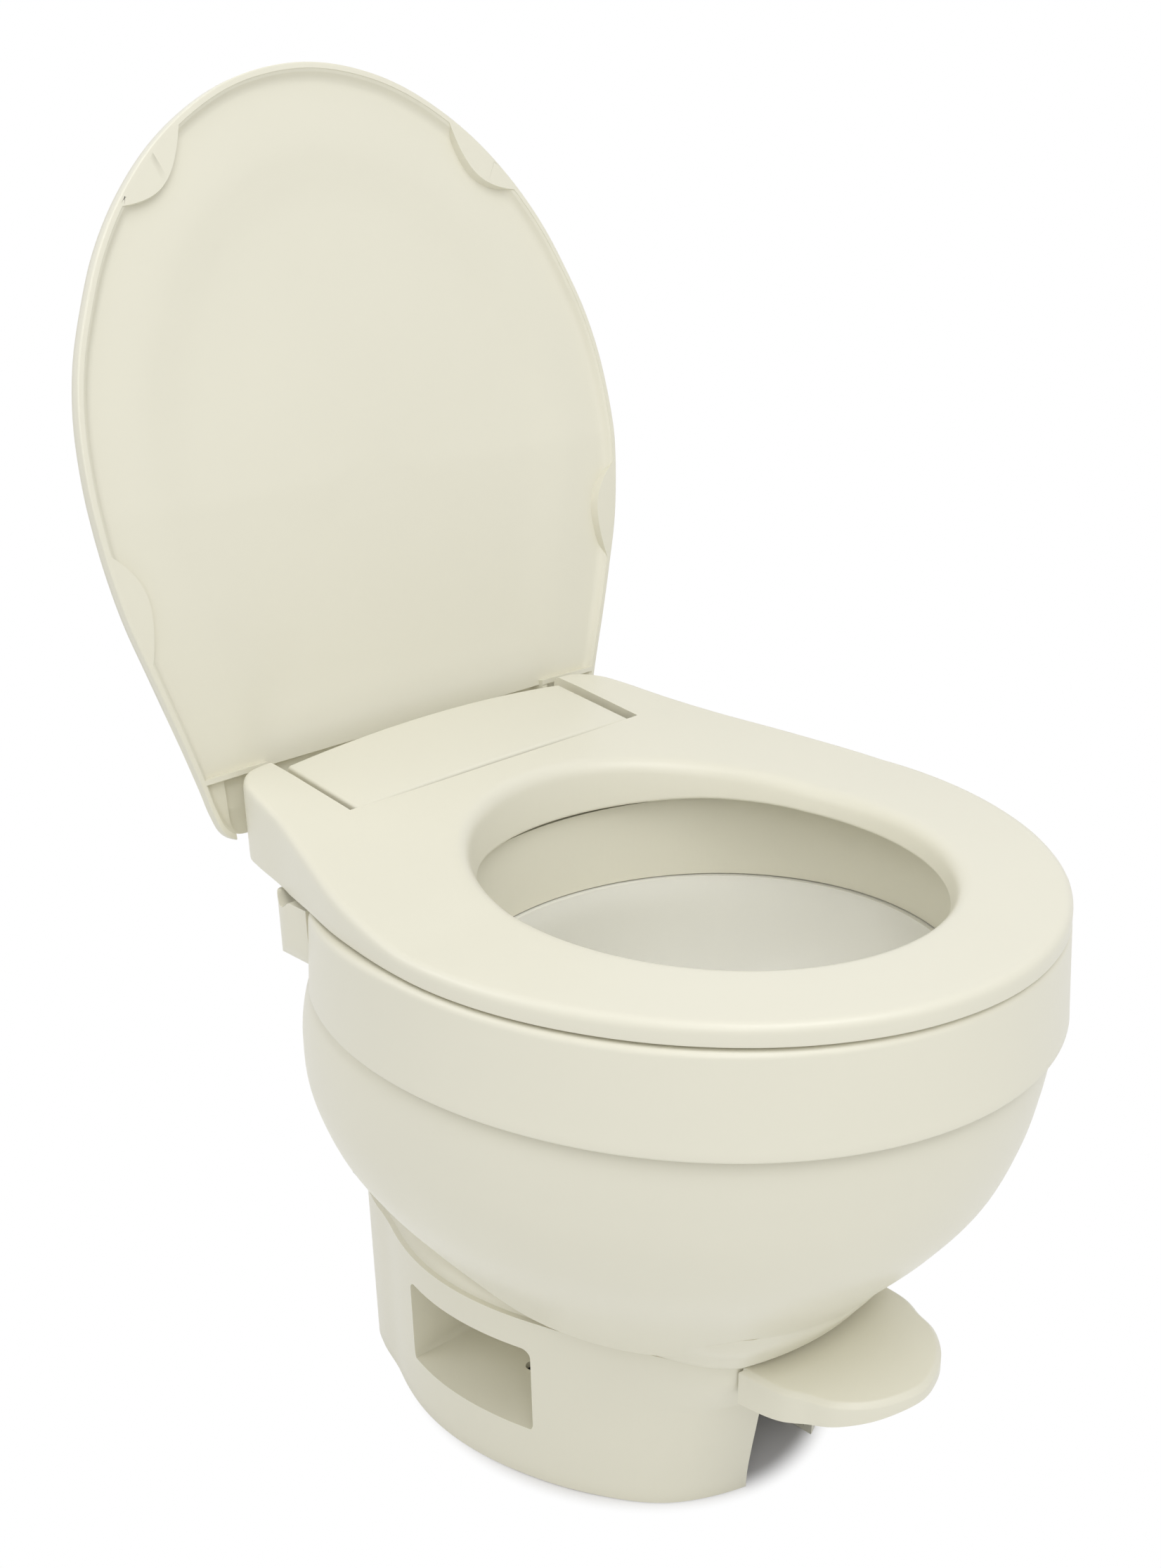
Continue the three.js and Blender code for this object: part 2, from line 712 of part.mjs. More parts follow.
// One ring of a seat section: radii with heights measured from the top or the bottom face
function seatSection(angle, profile) {
  return profile.map(([radius, face, offset]) => {
    const [x, y] = ringPoint(ringCentreY, radius, angle);
    const base = face === "top" ? seatTopAt(y) : seatBottomAt(y);
    return [x, y, base + offset];
  });
}

function seatBlank() {
  const sections = seatAngles().map((angle) => {
    const [outer, inner] = [seatEdgeAt(angle), holeAt(angle)];
    return seatSection(angle, [
      [outer, "bottom", 0],
      [outer, "top", -seatEdgeRound],
      [outer - seatEdgeRound / 3, "top", -seatEdgeRound / 3],
      [outer - seatEdgeRound, "top", 0],
      [inner + (outer - inner) / 2, "top", 0],
      [inner + lipDrop / 2, "top", 0],
      [inner + lipDrop / 7, "top", -lipDrop / 10],
      [inner, "top", -lipDrop / 3],
      [inner - lipIn, "top", lipIn / 4 - lipDrop],
      [inner - lipIn / 2, "top", -lipDrop],
      [inner + lipIn / 2, "top", -lipDrop],
    ]);
  });
  return skin(sections, true);
}

function seatHollow() {
  const sections = seatAngles().map((angle) => {
    const [outer, inner] = [seatEdgeAt(angle), holeAt(angle)];
    return seatSection(angle, [
      [outer - wall, "bottom", -over - lipDrop],
      [outer - wall, "top", -seatEdgeRound - wall / 2],
      [outer - wall - seatEdgeRound, "top", -wall],
      [inner + lipDrop, "top", -wall],
      [inner + wall, "top", -seatEdgeRound - wall / 2],
      [inner + wall / 2, "top", wall / 2 - lipDrop],
      [inner + wall / 2, "bottom", -over - lipDrop],
    ]);
  });
  return skin(sections, true);
}

const bothSides = [-1, 1];

function seatRibs(side, high) {
  return ribAngles.map((angle) => {
    const outer = seatEdgeAt(angle);
    const [, y] = ringPoint(ringCentreY, outer, angle);
    const rib = block(around(0, ribThickness / 2), [-outer, -holeAt(angle)], [seatBottomAt(y) + ribThickness, high]);
    return rib.rotate([0, 0, (angle * side) / degree]).translate([0, ringCentreY, 0]);
  });
}

function seatBumperSpot(angle, side) {
  return ringPoint(ringCentreY, (seatEdgeAt(angle) + holeAt(angle)) / 2, angle * side);
}

// Bosses that take the bumpers' stems
function seatSockets(side, high) {
  return seatBumperAngles.map((angle) => {
    const [x, y] = seatBumperSpot(angle, side);
    const low = rimTopAt(y) + 2 * gap + seatBumperHeight;
    return bar("z", x, y, seatBumperRadius + ribThickness, low, high);
  });
}

function seatBores(side) {
  const bush = bar("x", hingeY, hingeZ, bushRadius + gap, ...span(side, earInner - over, earInner + bushLength + gap));
  const pin = bar("x", hingeY, hingeZ, hingePinRadius + gap, ...span(side, earInner - over, hingePinOuter + over));
  const stems = seatBumperAngles.map((angle) => {
    const [x, y] = seatBumperSpot(angle, side);
    const low = rimTopAt(y) + seatBumperHeight;
    return bar("z", x, y, stemRadius + gap, low, low + stemLength + 2 * gap, smallFacets);
  });
  return [bush, pin, ...stems];
}

function makeSeat() {
  const low = seatHeight - lipDrop - 2 * earDrop;
  const high = seatTopAt(seatRear);
  const sweepFront = hingeY - coverSweep;
  const kept = [block(around(0, earInner + wall), [sweepFront - wall, notchFront + over], [low, high])];
  for (const side of bothSides) {
    kept.push(...seatRibs(side, high), ...seatSockets(side, high));
    kept.push(block(span(side, earInner - over, earInner + wall), [sweepFront - wall, seatRear], [low, high]));
    kept.push(block(span(side, earInner, seatHalfWidth), [sweepFront - wall, sweepFront], [low, high]));
    kept.push(bar("x", hingeY, hingeZ, hingeEye + wall / 2, ...span(side, earInner, earInner + bushLength + wall)));
  }
  const solid = seatBlank().subtract(seatHollow().subtract(join(...kept)));
  const notch = plate("z", roundedRectangle(around(0, earInner), [notchFront, 2 * seatRear], wall), low, 2 * high);
  const sweep = bar("x", hingeY, hingeZ, coverSweep, -earInner, earInner, bodyFacets);
  const behind = block(around(0, seatHalfWidth), [hingeY, seatRear + wall], [low, high + wall]);
  const ears = bar("x", hingeY, hingeZ, earSweep, -seatHalfWidth, seatHalfWidth, bodyFacets);
  return cut(solid, notch, sweep, behind.subtract(ears), ...bothSides.flatMap(seatBores));
}

// Bumper with a stem pressed up into the seat
function makeSeatBumper(angle, side) {
  const [x, y] = seatBumperSpot(angle, side);
  const foot = rimTopAt(y) + gap;
  const profile = [
    [seatBumperRadius * 0.8, foot],
    [seatBumperRadius, foot + seatBumperHeight / 4],
    [seatBumperRadius, foot + seatBumperHeight],
    [stemRadius, foot + seatBumperHeight],
    [stemRadius, foot + seatBumperHeight + stemLength - gap],
  ];
  return turned("z", x, y, profile, false, smallFacets);
}

// The lid, drawn closed over the seat
function lidRimAt(y) {
  return seatTopAt(y) + lidGap;
}

function lidDepthAt(y) {
  return lidFrontDepth + (lidRearDepth - lidFrontDepth) * Math.min(1, Math.max(0, y) / hingeY);
}

function lidRing(share, inset, height) {
  return seatAngles().map((angle) => {
    const radius = radiusAt(lidOutline, ringCentreY, angle) * share - inset;
    const [x, y] = ringPoint(ringCentreY, radius, angle);
    return [x, y, height(y)];
  });
}

function lidBlank() {
  const shell = lidShellShares.map(([share, rise]) => lidRing(share, 0, (y) => lidRimAt(y) + lidDepthAt(y) * rise));
  return skin([lidRing(1, 0, lidRimAt), ...shell]);
}

// The inner face: a soft slope from the rim to the panel, then the shallow dish
function lidHollow() {
  const slope = lidSlopeShares.map(([run, drop]) =>
    lidRing(1, lidRimFace + lidSlopeRun * run, (y) => lidRimAt(y) + lidSlopeDepth * drop));
  const panel = lidPanelShares.map(([share, dish]) =>
    lidRing(share, 0, (y) => lidRimAt(y) + lidSlopeDepth + panelDish * dish));
  return skin([lidRing(1, lidRimFace, (y) => lidRimAt(y) - over), ...slope, ...panel]);
}

// Crescent land along the rim and level with it, a little wider towards the panel
function lidPad(angle, side) {
  const steps = 8;
  const edge = (widen) => {
    const spots = Array.from({ length: steps + 1 }, (_, i) => {
      const share = (2 * i) / steps - 1;
      const at = angle + lidPadSpan * share;
      const outer = radiusAt(lidOutline, ringCentreY, at) - lidRimFace / 2;
      return [at * side, outer, outer - gap - (lidPadWidth + widen) * (1 - share * share)];
    });
    const near = spots.map(([at, outer]) => ringPoint(ringCentreY, outer, at));
    const far = spots.map(([at, , inner]) => ringPoint(ringCentreY, inner, at));
    return [...near, ...far.reverse()];
  };
  const panel = (y) => lidRimAt(y) + lidSlopeDepth + panelDish;
  return slab([[edge(0), lidRimAt], [edge(lidPadDraft), panel]]);
}

// Webs beside the hollows over the ears
function lidWebs() {
  const high = lidRimAt(lidRear) + lidRearDepth;
  const floor = lidRimAt(lidPocketFront);
  return bothSides.flatMap((side) => [
    block(span(side, lidWebInner, lidHalfWidth), [lidPocketFront, lidPocketFront + skinWall], [floor, high]),
    block(span(side, lidWebInner, lidWebOuter), [lidPocketFront, lidRear], [floor + skinWall, high]),
  ]);
}

function lidLug(side) {
  const width = span(side, lidWebInner, lidWebOuter);
  const arm = block(width, [hingeY - hingeEye, lidRear - gap], [hingeZ, lidRimAt(lidRear) + skinWall]);
  return join(arm, bar("x", hingeY, hingeZ, hingeEye, ...width));
}

// Room for the hinge cover and for the ears behind the webs
function lidClearings() {
  const start = lidPocketFront + skinWall;
  const high = lidRimAt(lidRear) + 2 * lidRearDepth;
  const rear = block(around(0, lidWebInner), [lidCentralRear, lidRear + over], [hingeZ, high]);
  const tail = block(around(0, lidWebInner), [start, lidRear + over], [hingeZ, hingeZ + coverReach + runGap]);
  const swing = bar("x", hingeY, hingeZ, earSweep + gap, -lidHalfWidth, lidHalfWidth, bodyFacets);
  const room = lidBlank().translate([0, 0, -skinWall]).add(swing);
  const ends = bothSides.map((side) =>
    block(span(side, lidWebOuter, lidHalfWidth * lidPocketEndShare), [start, lidRear + over], [hingeZ, high]));
  return [rear, tail, ...ends.map((end) => end.intersect(room))];
}

function makeLid() {
  const shell = lidBlank();
  const pads = bothSides.flatMap((side) => lidPadAngles.map((angle) => lidPad(angle, side)));
  const inside = shell.intersect(join(...lidWebs(), ...pads));
  const bare = cut(shell.subtract(lidHollow()).add(inside), ...lidClearings());
  const lid = join(bare, lidLug(-1), lidLug(1));
  return lid.subtract(bar("x", hingeY, hingeZ, hingePinRadius + gap, -lidWebOuter - over, lidWebOuter + over));
}

// Hinge cover with a slight crown, its block and its pins
function coverTopAt(x, y) {
  const share = (y - coverFront) / (coverRear - coverFront);
  const crown = coverFrontCrown + (coverRearCrown - coverFrontCrown) * share;
  const across = x / coverHalfWidth;
  return coverFrontZ + (coverRearZ - coverFrontZ) * share + crown * (1 - across * across);
}

function coverSlab(halfWidth, [front, rear], drop, bottom, round) {
  const stations = 12;
  const depths = [0, 0.25, 0.5, 0.75, 1];
  const rings = Array.from({ length: stations + 1 }, (_, i) => {
    const x = halfWidth * ((2 * i) / stations - 1);
    const edge = (y, below) => [x, y, coverTopAt(x, y) - below];
    const top = depths.map((share) => edge(front + round + (rear - front - 2 * round) * share, drop));
    return [edge(front, bottom), edge(front, drop + round), ...top, edge(rear, drop + round), edge(rear, bottom)];
  });
  return skin(rings);
}

function makeHingeCover() {
  const outside = coverSlab(coverHalfWidth, [coverFront, coverRear], 0, coverSkirt, coverRound);
  const length = [coverFront + skinWall, coverRear - skinWall];
  const inside = coverSlab(coverHalfWidth - skinWall, length, skinWall, coverSkirt + over, coverRound / 2);
  return outside.subtract(inside);
}

function blockLug(side, low, rear) {
  const eye = arc(hingeY, hingeZ, blockEye, blockEyeStart, blockEyeEnd, smallFacets);
  const foot = [[bandRear + wall * 1.5, low], [rear, low]];
  return plate("x", [...foot, ...eye], ...span(side, blockLugOuter - blockLugWidth, blockLugOuter));
}

function makeHingeBlock() {
  const low = deckTop + gap;
  const rear = deckRear - skinWall;
  const ribFront = coverFront + 2 * wall;
  const ribTop = coverTopAt(coverHalfWidth, ribFront) - skinWall - gap;
  const ribs = [-1, 0, 1].map((place) =>
    block(around(place * blockRibX, wall / 2), [ribFront, rear], [low, ribTop]));
  const plateOnDeck = block(around(0, blockLugOuter), [bandRear + wall / 2, rear], [low, low + blockPlate]);
  const rearWall = block(around(0, blockLugOuter), [rear - wall, rear], [low, low + 3 * blockPlate]);
  const holes = bothSides.map((side) =>
    bar("z", side * hingeScrewX, hingeScrewY, screwRadius + gap, low - over, low + blockPlate + over, smallFacets));
  const pin = bar("x", hingeY, hingeZ, hingePinRadius + gap, -blockLugOuter - over, blockLugOuter + over);
  return cut(join(plateOnDeck, rearWall, ...ribs, ...bothSides.map((side) => blockLug(side, low, rear))), ...holes, pin);
}

// A plain pin with bevelled ends
function makePin(y, z, radius, [from, to]) {
  const bevel = radius / 4;
  return turned("x", y, z, [[radius - bevel, from], [radius, from + bevel], [radius, to - bevel], [radius - bevel, to]]);
}

function makeHingeBush(side) {
  const [from, to] = span(side, earInner + gap, earInner + bushLength);
  const [inner, outer] = [hingePinRadius + gap / 2, bushRadius];
  return turned("x", hingeY, hingeZ, [[inner, from], [outer, from], [outer, to], [inner, to]], true);
}

// A pan head screw along +Z or -Z with a cross slot in its head
function makeScrew(x, y, headFace, direction, length) {
  const headTop = headFace - direction * screwHeadHeight;
  const profile = [
    [screwHeadRadius * 0.6, headTop],
    [screwHeadRadius * 0.92, headTop + direction * screwHeadHeight * 0.3],
    [screwHeadRadius, headFace],
    [screwRadius, headFace],
    [screwRadius, headFace + direction * length],
  ];
  const arm = screwHeadRadius / 2;
  const slot = screwHeadRadius / 7;
  const depth = [headTop - direction * over, headTop + direction * screwHeadHeight * 0.45].sort((a, b) => a - b);
  const slots = [[arm, slot], [slot, arm]].map(([u, v]) => block(around(x, u), around(y, v), depth));
  return cut(turned("z", x, y, profile, false, smallFacets), ...slots);
}

// Outline of the body, bent short of a plane at the rear and filled out at its rear corners
function bodyOutline(share, shift, grow, rear, corner = 0) {
  const wide = bandHalfWidth / cosineShare(bandShares, Math.PI / 2);
  const long = bandFront / cosineShare(bandShares, 0);
  const start = rear + grow - rearBend;
  return turns(bodyFacets).map((angle) => {
    const reach = cosineShare(bandShares, angle) * share;
    const extra = grow + corner * Math.sin(angle) ** 2 * Math.max(0, -Math.cos(angle));
    const x = (wide * reach + extra) * Math.sin(angle);
    const y = shift - (long * reach + extra) * Math.cos(angle);
    return [x, y > start ? start + rearBend * (1 - Math.exp((start - y) / rearBend)) : y];
  });
}

function ellipseOutline(halfWidth, halfLength, centreY) {
  return turns(bodyFacets).map((angle) => [halfWidth * Math.sin(angle), centreY - halfLength * Math.cos(angle)]);
}

function lifted(outline, height) {
  return outline.map(([x, y]) => [x, y, typeof height === "function" ? height(y) : height]);
}

// The opening through the rim, grown by a wall for the skirt round it
function rimOpening(grow, low, high) {
  const outline = ellipseOutline(skirtHalfWidth + grow, skirtHalfLength + grow, openingCentreY);
  return skin([lifted(outline, low), lifted(outline, high)]);
}

function makeRimBand() {
  const level = (share, drop) => (y) => bandBottom + (rimTopAt(y) - bandBottom) * share - drop;
  const ring = (inset, height) => lifted(bodyOutline(1, 0, -inset, bandRear), height);
  const blank = skin([
    ring(0, bandBottom),
    ring(bandFlare / 2, level(0.5, 0)),
    ring(bandFlare, level(1, bandRound)),
    ring(bandFlare + bandRound / 3, level(1, bandRound / 3)),
    ring(bandFlare + bandRound, level(1, 0)),
  ]);
  const hollow = skin([
    ring(wall, bandBottom - over),
    ring(wall + bandFlare, level(1, bandRound + wall)),
    ring(wall + bandFlare + bandRound, level(1, wall)),
  ]);
  const skirt = rimOpening(skinWall, skirtBottom, (y) => rimTopAt(y) - wall / 2);
  const mouth = rimOpening(0, skirtBottom - over, (y) => rimTopAt(y) + over);
  const [nozzleX, nozzleY] = nozzleSpot();
  const nozzle = bar("x", nozzleY, nozzleZ, nozzleRadius + gap, nozzleX - wall * 3, nozzleX + wall * 2);
  const screws = bothSides.map((side) =>
    bar("z", side * hingeScrewX, hingeScrewY, screwRadius + gap, deckTop - 2 * wall, deckTop + over, smallFacets));
  const body = cut(join(blank, makeDeckBlank()), hollow, makeDeckHollow(), shellSkin(gap, gap));
  return cut(body.add(skirt), mouth, ...screws, nozzle);
}

// Side view of the rear deck, in y and z
function deckProfile(inset, scooped) {
  const [rear, top, low] = [deckRear - inset, deckTop - inset, bandBottom];
  const round = deckRound - inset;
  const steps = 4;
  const corner = arc(rear - round, top - round, round, 0, Math.PI / 2, steps);
  const dip = Array.from({ length: steps + 1 }, (_, i) => {
    const share = i / steps;
    return [rear - round - wall / 4 - scoopWidth * share, top - scoopDepth * Math.sin(share * Math.PI)];
  });
  const foot = [[deckFront, low], [rear - round, low], [rear - round / 4, low + round / 2], [rear, low + round * 1.5]];
  return [...foot, ...corner, ...(scooped ? dip : []), [deckFront, top]];
}

function makeDeckBlank() {
  const middle = plate("x", deckProfile(0, false), -coverHalfWidth, coverHalfWidth);
  const full = plate("x", deckProfile(0, true), -deckHalfWidth, deckHalfWidth);
  const plan = roundedRectangle(around(0, deckHalfWidth), around(0, deckRear), deckCorner);
  return join(middle, full).intersect(plate("z", plan, bandBottom - over, deckTop + over));
}

function makeDeckHollow() {
  const inner = deckProfile(wall, true).map(([y, z]) => [
    y === deckFront ? deckFront - 2 * wall : y, z === bandBottom ? z - over : z - wall / 4,
  ]);
  return plate("x", inner, wall - deckHalfWidth, deckHalfWidth - wall);
}

function nozzleSpot() {
  const [x, y] = ringPoint(0, 1, -nozzleAngle);
  return [x * (skirtHalfWidth + skinWall), openingCentreY + y * (skirtHalfLength + skinWall)];
}

function makeRinseNozzle() {
  const [x, y] = nozzleSpot();
  const face = x + skinWall + nozzleReach;
  const flange = x - gap - nozzleFlange;
  const body = turned("x", y, nozzleZ, [
    [nozzleRadius * 0.6, face],
    [nozzleRadius, face - nozzleRadius / 3],
    [nozzleRadius, x - gap],
    [nozzleRadius + nozzleFlange, x - gap],
    [nozzleRadius + nozzleFlange, flange],
    [barbRadius, flange],
    [barbRadius, x - gap - barbLength],
  ]);
  const bore = bar("x", y, nozzleZ, barbRadius / 2, x - barbLength - over, face - nozzleSlot, smallFacets);
  const fan = block([face - 1.6 * nozzleSlot, face + over], around(y, 2 * nozzleRadius), around(nozzleZ, nozzleSlot / 2));
  return cut(body, bore, fan);
}

// Outer bowl shell
function shellOutline([, share, shift, belly], grow) {
  return bodyOutline(share, shellShift * shift, grow, shellRear + shellBelly * belly, shellQuarter * belly);
}

function shellSkin(grow, drop) {
  return skin(shellLevels.map((row) => {
    const z = shellBottom + (shellTop - shellBottom) * row[0];
    return lifted(shellOutline(row, grow), row[0] === 0 ? z - drop : z);
  }));
}

// The wall of the shell; grown on all sides it becomes a cutter
function makeBowlShell(grow = 0) {
  const floor = shellBottom + shellFlange;
  const inner = shellLevels.map((row) =>
    lifted(shellOutline(row, -shellWall - grow), floor + (shellTop - floor + over) * row[0]));
  const mouth = bodyOutline(shellMouthShare, shellMouthShift, 0, shellRear);
  return cut(shellSkin(grow, 0), skin(inner), plate("z", mouth, shellBottom - over, floor + over));
}

// Inner bowl, from the ledge under the rim to the throat over the waste ball
function bowlSection([height, width, length, back], grow, lift) {
  const z = bowlFlangeTop + (ledgeZ - bowlFlangeTop) * height + lift;
  const centre = openingCentreY + (throatY - openingCentreY) * back;
  const halfWidth = throatRadius + (bowlHalfWidth - throatRadius) * width;
  const halfLength = throatRadius + (bowlHalfLength - throatRadius) * length;
  return lifted(ellipseOutline(halfWidth + grow, halfLength + grow, centre), z);
}

function makeInnerBowl() {
  const last = bowlShares.length - 1;
  const outer = skin(bowlShares.map((row) => bowlSection(row, bowlWall, 0)));
  const inner = skin(bowlShares.map((row, i) => bowlSection(row, 0, (i === 0 ? over : 0) - (i === last ? over : 0))));
  const rim = ellipseOutline(bowlHalfWidth + ledgeReach, bowlHalfLength + ledgeReach, openingCentreY);
  const ledge = skin([lifted(rim, ledgeZ), lifted(rim, ledgeZ - wall)]);
  const flange = bar("z", 0, throatY, flangeRadius, flangeTop + gap, bowlFlangeTop + gap, bodyFacets);
  const throat = bar("z", 0, throatY, throatRadius, flangeTop - over, bowlFlangeTop + over);
  return cut(join(outer, ledge, flange), inner, throat, ...throatScrewHoles(flangeTop - over, flangeTop + bowlWall));
}

function throatScrewSpots() {
  return circle(0, throatY, throatScrewPitch, 4, Math.PI / 4);
}

function throatScrewHoles(low, high) {
  return throatScrewSpots().map(([x, y]) => bar("z", x, y, screwRadius + gap, low, high, smallFacets));
}

// Valve housing: a can round the ball with an outlet neck and two shaft bosses
function makeValveHousing() {
  const can = turned("z", 0, throatY, [
    [neckInner, neckBottom], [neckOuter, neckBottom], [neckOuter, canBottom], [canOuter, canBottom],
    [canOuter, flangeBottom], [flangeRadius, flangeBottom], [flangeRadius, flangeTop], [sealRadius + gap, flangeTop],
    [sealRadius + gap, sealSeatZ], [neckInner, sealSeatZ], [neckInner, flangeBottom],
    [canInner, flangeBottom - canFloor], [canInner, canBottom + canFloor * 2], [neckInner, canBottom + canFloor],
  ], true, bodyFacets);
  const bosses = bothSides.map((side) => bar("x", throatY, shaftZ, bossRadius, ...span(side, canInner, bossOuter)));
  const bores = bothSides.flatMap((side) => {
    const through = span(side, canInner - wall, bossOuter + over);
    const recess = span(side, bossOuter - oRingWidth - gap, bossOuter + over);
    return [
      bar("x", throatY, shaftZ, shaftRadius + gap, ...through), bar("x", throatY, shaftZ, oRingRadius + gap, ...recess),
    ];
  });
  const room = bar("z", 0, throatY, canInner, canBottom + canFloor * 2, flangeBottom - canFloor, bodyFacets);
  return cut(join(can, ...bosses), ...bores, room, ...throatScrewHoles(flangeBottom - over, flangeTop + over));
}

function makeShaftSeal(side) {
  const [from, to] = span(side, bossOuter - oRingWidth, bossOuter);
  const inner = shaftRadius + gap;
  const bevel = oRingWidth / 8;
  return turned("x", throatY, shaftZ, [
    [inner + bevel, from], [oRingRadius - bevel, from], [oRingRadius, from + 2 * bevel], [oRingRadius, to - 2 * bevel],
    [oRingRadius - bevel, to], [inner + bevel, to], [inner, to - 2 * bevel], [inner, from + 2 * bevel],
  ], true);
}

function makeBallSeal() {
  const low = sealSeatZ - sealLip;
  const ring = turned("z", 0, throatY, [
    [sealInner, sealSeatZ + sealLip / 2], [sealInner + sealLip, low], [neckInner - gap, low],
    [neckInner - gap, sealSeatZ + gap], [sealRadius, sealSeatZ + gap], [sealRadius, flangeTop - gap / 2],
    [sealInner + sealLip / 3, flangeTop - gap / 2],
  ], true, bodyFacets);
  return ring.subtract(ballSphere(ballRadius + gap, 2));
}

function ballSphere(radius, finer = 1) {
  const sphere = new THREE.SphereGeometry(radius, 24 * finer, 18 * finer);
  sphere.rotateZ(Math.PI / 2);
  sphere.translate(0, throatY, shaftZ);
  return solidOf(sphere);
}

// A square hole for the shafts, along x
function squareHole(from, to) {
  return block([from, to], around(throatY, squareHalf + gap), around(shaftZ, squareHalf + gap));
}

// The ball is a slice of a hollow sphere between two hubs, so it swings clear of the throat
function makeWasteBall() {
  const shell = ballSphere(ballRadius).subtract(ballSphere(ballRadius - ballWall));
  const reach = ballRadius * 2;
  const spread = reach * Math.tan(ballHalfAngle);
  const fan = [[throatY, shaftZ], [throatY + spread, shaftZ + reach], [throatY - spread, shaftZ + reach]];
  const hubs = bothSides.map((side) => bar("x", throatY, shaftZ, hubRadius, ...span(side, hubInner, ballRadius - gap)));
  const holes = bothSides.map((side) => squareHole(...span(side, hubInner + hubFloor, ballRadius + over)));
  return cut(join(shell.intersect(plate("x", fan, -reach, reach)), ...hubs), ...holes);
}

// A stub shaft: square where it drives the ball, round in its boss, square again for gear or cam
function makeShaft(side) {
  const across = [around(throatY, squareHalf), around(shaftZ, squareHalf)];
  const inner = block(span(side, hubInner + hubFloor + gap, ballRadius + gap), ...across);
  const round = bar("x", throatY, shaftZ, shaftRadius, ...span(side, ballRadius + gap, bossOuter + gap));
  const outer = block(span(side, bossOuter, shaftEnd - shaftCap), ...across);
  const cap = bar("x", throatY, shaftZ, shaftRadius, ...span(side, shaftEnd - shaftCap, shaftEnd));
  return join(inner, round, outer, cap);
}

// Involute teeth
function involute(base, radius) {
  const roll = Math.sqrt(Math.max(0, (radius / base) ** 2 - 1));
  return roll - Math.atan(roll);
}

function toothFlanks(teeth, centre) {
  const pitch = (teeth * toothModule) / 2;
  const base = pitch * Math.cos(pressureAngle);
  const tip = pitch + toothModule;
  const root = pitch - toothModule * dedendumShare;
  const half = Math.PI / (2 * teeth) - (backlashShare * toothModule) / (4 * pitch);
  const foot = Math.max(root, base);
  const right = Array.from({ length: flankSteps + 1 }, (_, i) => {
    const radius = foot + ((tip - foot) * i) / flankSteps;
    return [radius, half + involute(base, pitch) - involute(base, radius)];
  });
  const side = root < foot ? [[root, right[0][1]], ...right] : right;
  return [...side.map(([r, a]) => [r, centre - a]), ...side.reverse().map(([r, a]) => [r, centre + a])];
}

function polar(y, z, radius, angle) {
  return [y + radius * Math.cos(angle), z + radius * Math.sin(angle)];
}

function gearPoints(teeth, centres, y, z) {
  return centres.flatMap((centre) => toothFlanks(teeth, centre)).map(([r, a]) => polar(y, z, r, a));
}

function makePinion() {
  const step = (2 * Math.PI) / pinionTeeth;
  const centres = Array.from({ length: pinionTeeth }, (_, i) => meshAngle + Math.PI + (i + 0.5) * step);
  const [from, to] = [pinionInner, pinionInner + gearWidth];
  const wheel = plate("x", gearPoints(pinionTeeth, centres, throatY, shaftZ), from, to);
  return wheel.subtract(squareHole(from - over, to + over));
}

// The toothed sector: enough teeth for the whole stroke, with a lightening hole
function leverSector() {
  const step = (2 * Math.PI) / sectorTeeth;
  const travel = (Math.PI / 2) * (pinionTeeth / sectorTeeth);
  const first = -Math.ceil(travel / step) - 1;
  const centres = Array.from({ length: sectorToothCount }, (_, i) => meshAngle + (first + i) * step);
  const rootRadius = (sectorTeeth * toothModule) / 2 - toothModule * dedendumShare;
  const [low, high] = [centres[0] - step / 2, centres[sectorToothCount - 1] + step / 2];
  const at = (radius, angle) => polar(pivotY, pivotZ, radius, angle);
  const [from, to] = [sectorInner, sectorInner + sectorWidth];
  const outline = [
    at(leverHub, low - sectorFlare), at(rootRadius, low), ...gearPoints(sectorTeeth, centres, pivotY, pivotZ),
    at(rootRadius, high), at(leverHub, high + sectorFlare),
  ];
  const hole = at(rootRadius * sectorHoleShare, meshAngle - travel / 2);
  const rim = bar("x", pivotY, pivotZ, leverHub + sectorRim, from, to);
  const light = bar("x", ...hole, leverHub * 0.8, from - over, to + over, smallFacets);
  return join(plate("x", outline, from, to), rim).subtract(light);
}

// The arm from the hub to the pad, in y and z
function leverArm() {
  const outline = [
    [pivotY, pivotZ - leverHub], [-neckFront, leverTop - leverThickness * 1.4],
    [leverNose - leverFront, leverTop - leverThickness], [-leverFront, leverTop - leverThickness / 2],
    [-leverFront, leverTop], [-neckFront, leverTop], [pivotY, pivotZ + leverHub],
  ];
  return plate("x", outline, -leverHalfWidth, leverHalfWidth);
}

// Lever: pad arm, hub tube, gear sector and a shelf for the spring in one casting
function makePedalLever() {
  const hub = bar("x", pivotY, pivotZ, leverHub, leverHubLeft, leverHubRight);
  const shelf = block(
    [springRight - 2 * springWire, wall / 4 - leverHalfWidth],
    [pivotY - springLeg - leverHub, pivotY - springRadius - springWire - 2 * gap],
    [pivotZ - springRadius + springWire + gap, pivotZ],
  );
  const bore = bar("x", pivotY, pivotZ, pedalPinRadius + gap, leverHubLeft - over, leverHubRight + over);
  const low = leverTop - 3 * leverThickness;
  const screw = bar("z", 0, padScrewY, screwRadius + gap, low, leverTop + over, smallFacets);
  return cut(join(leverSector(), hub, leverArm(), shelf), bore, screw);
}

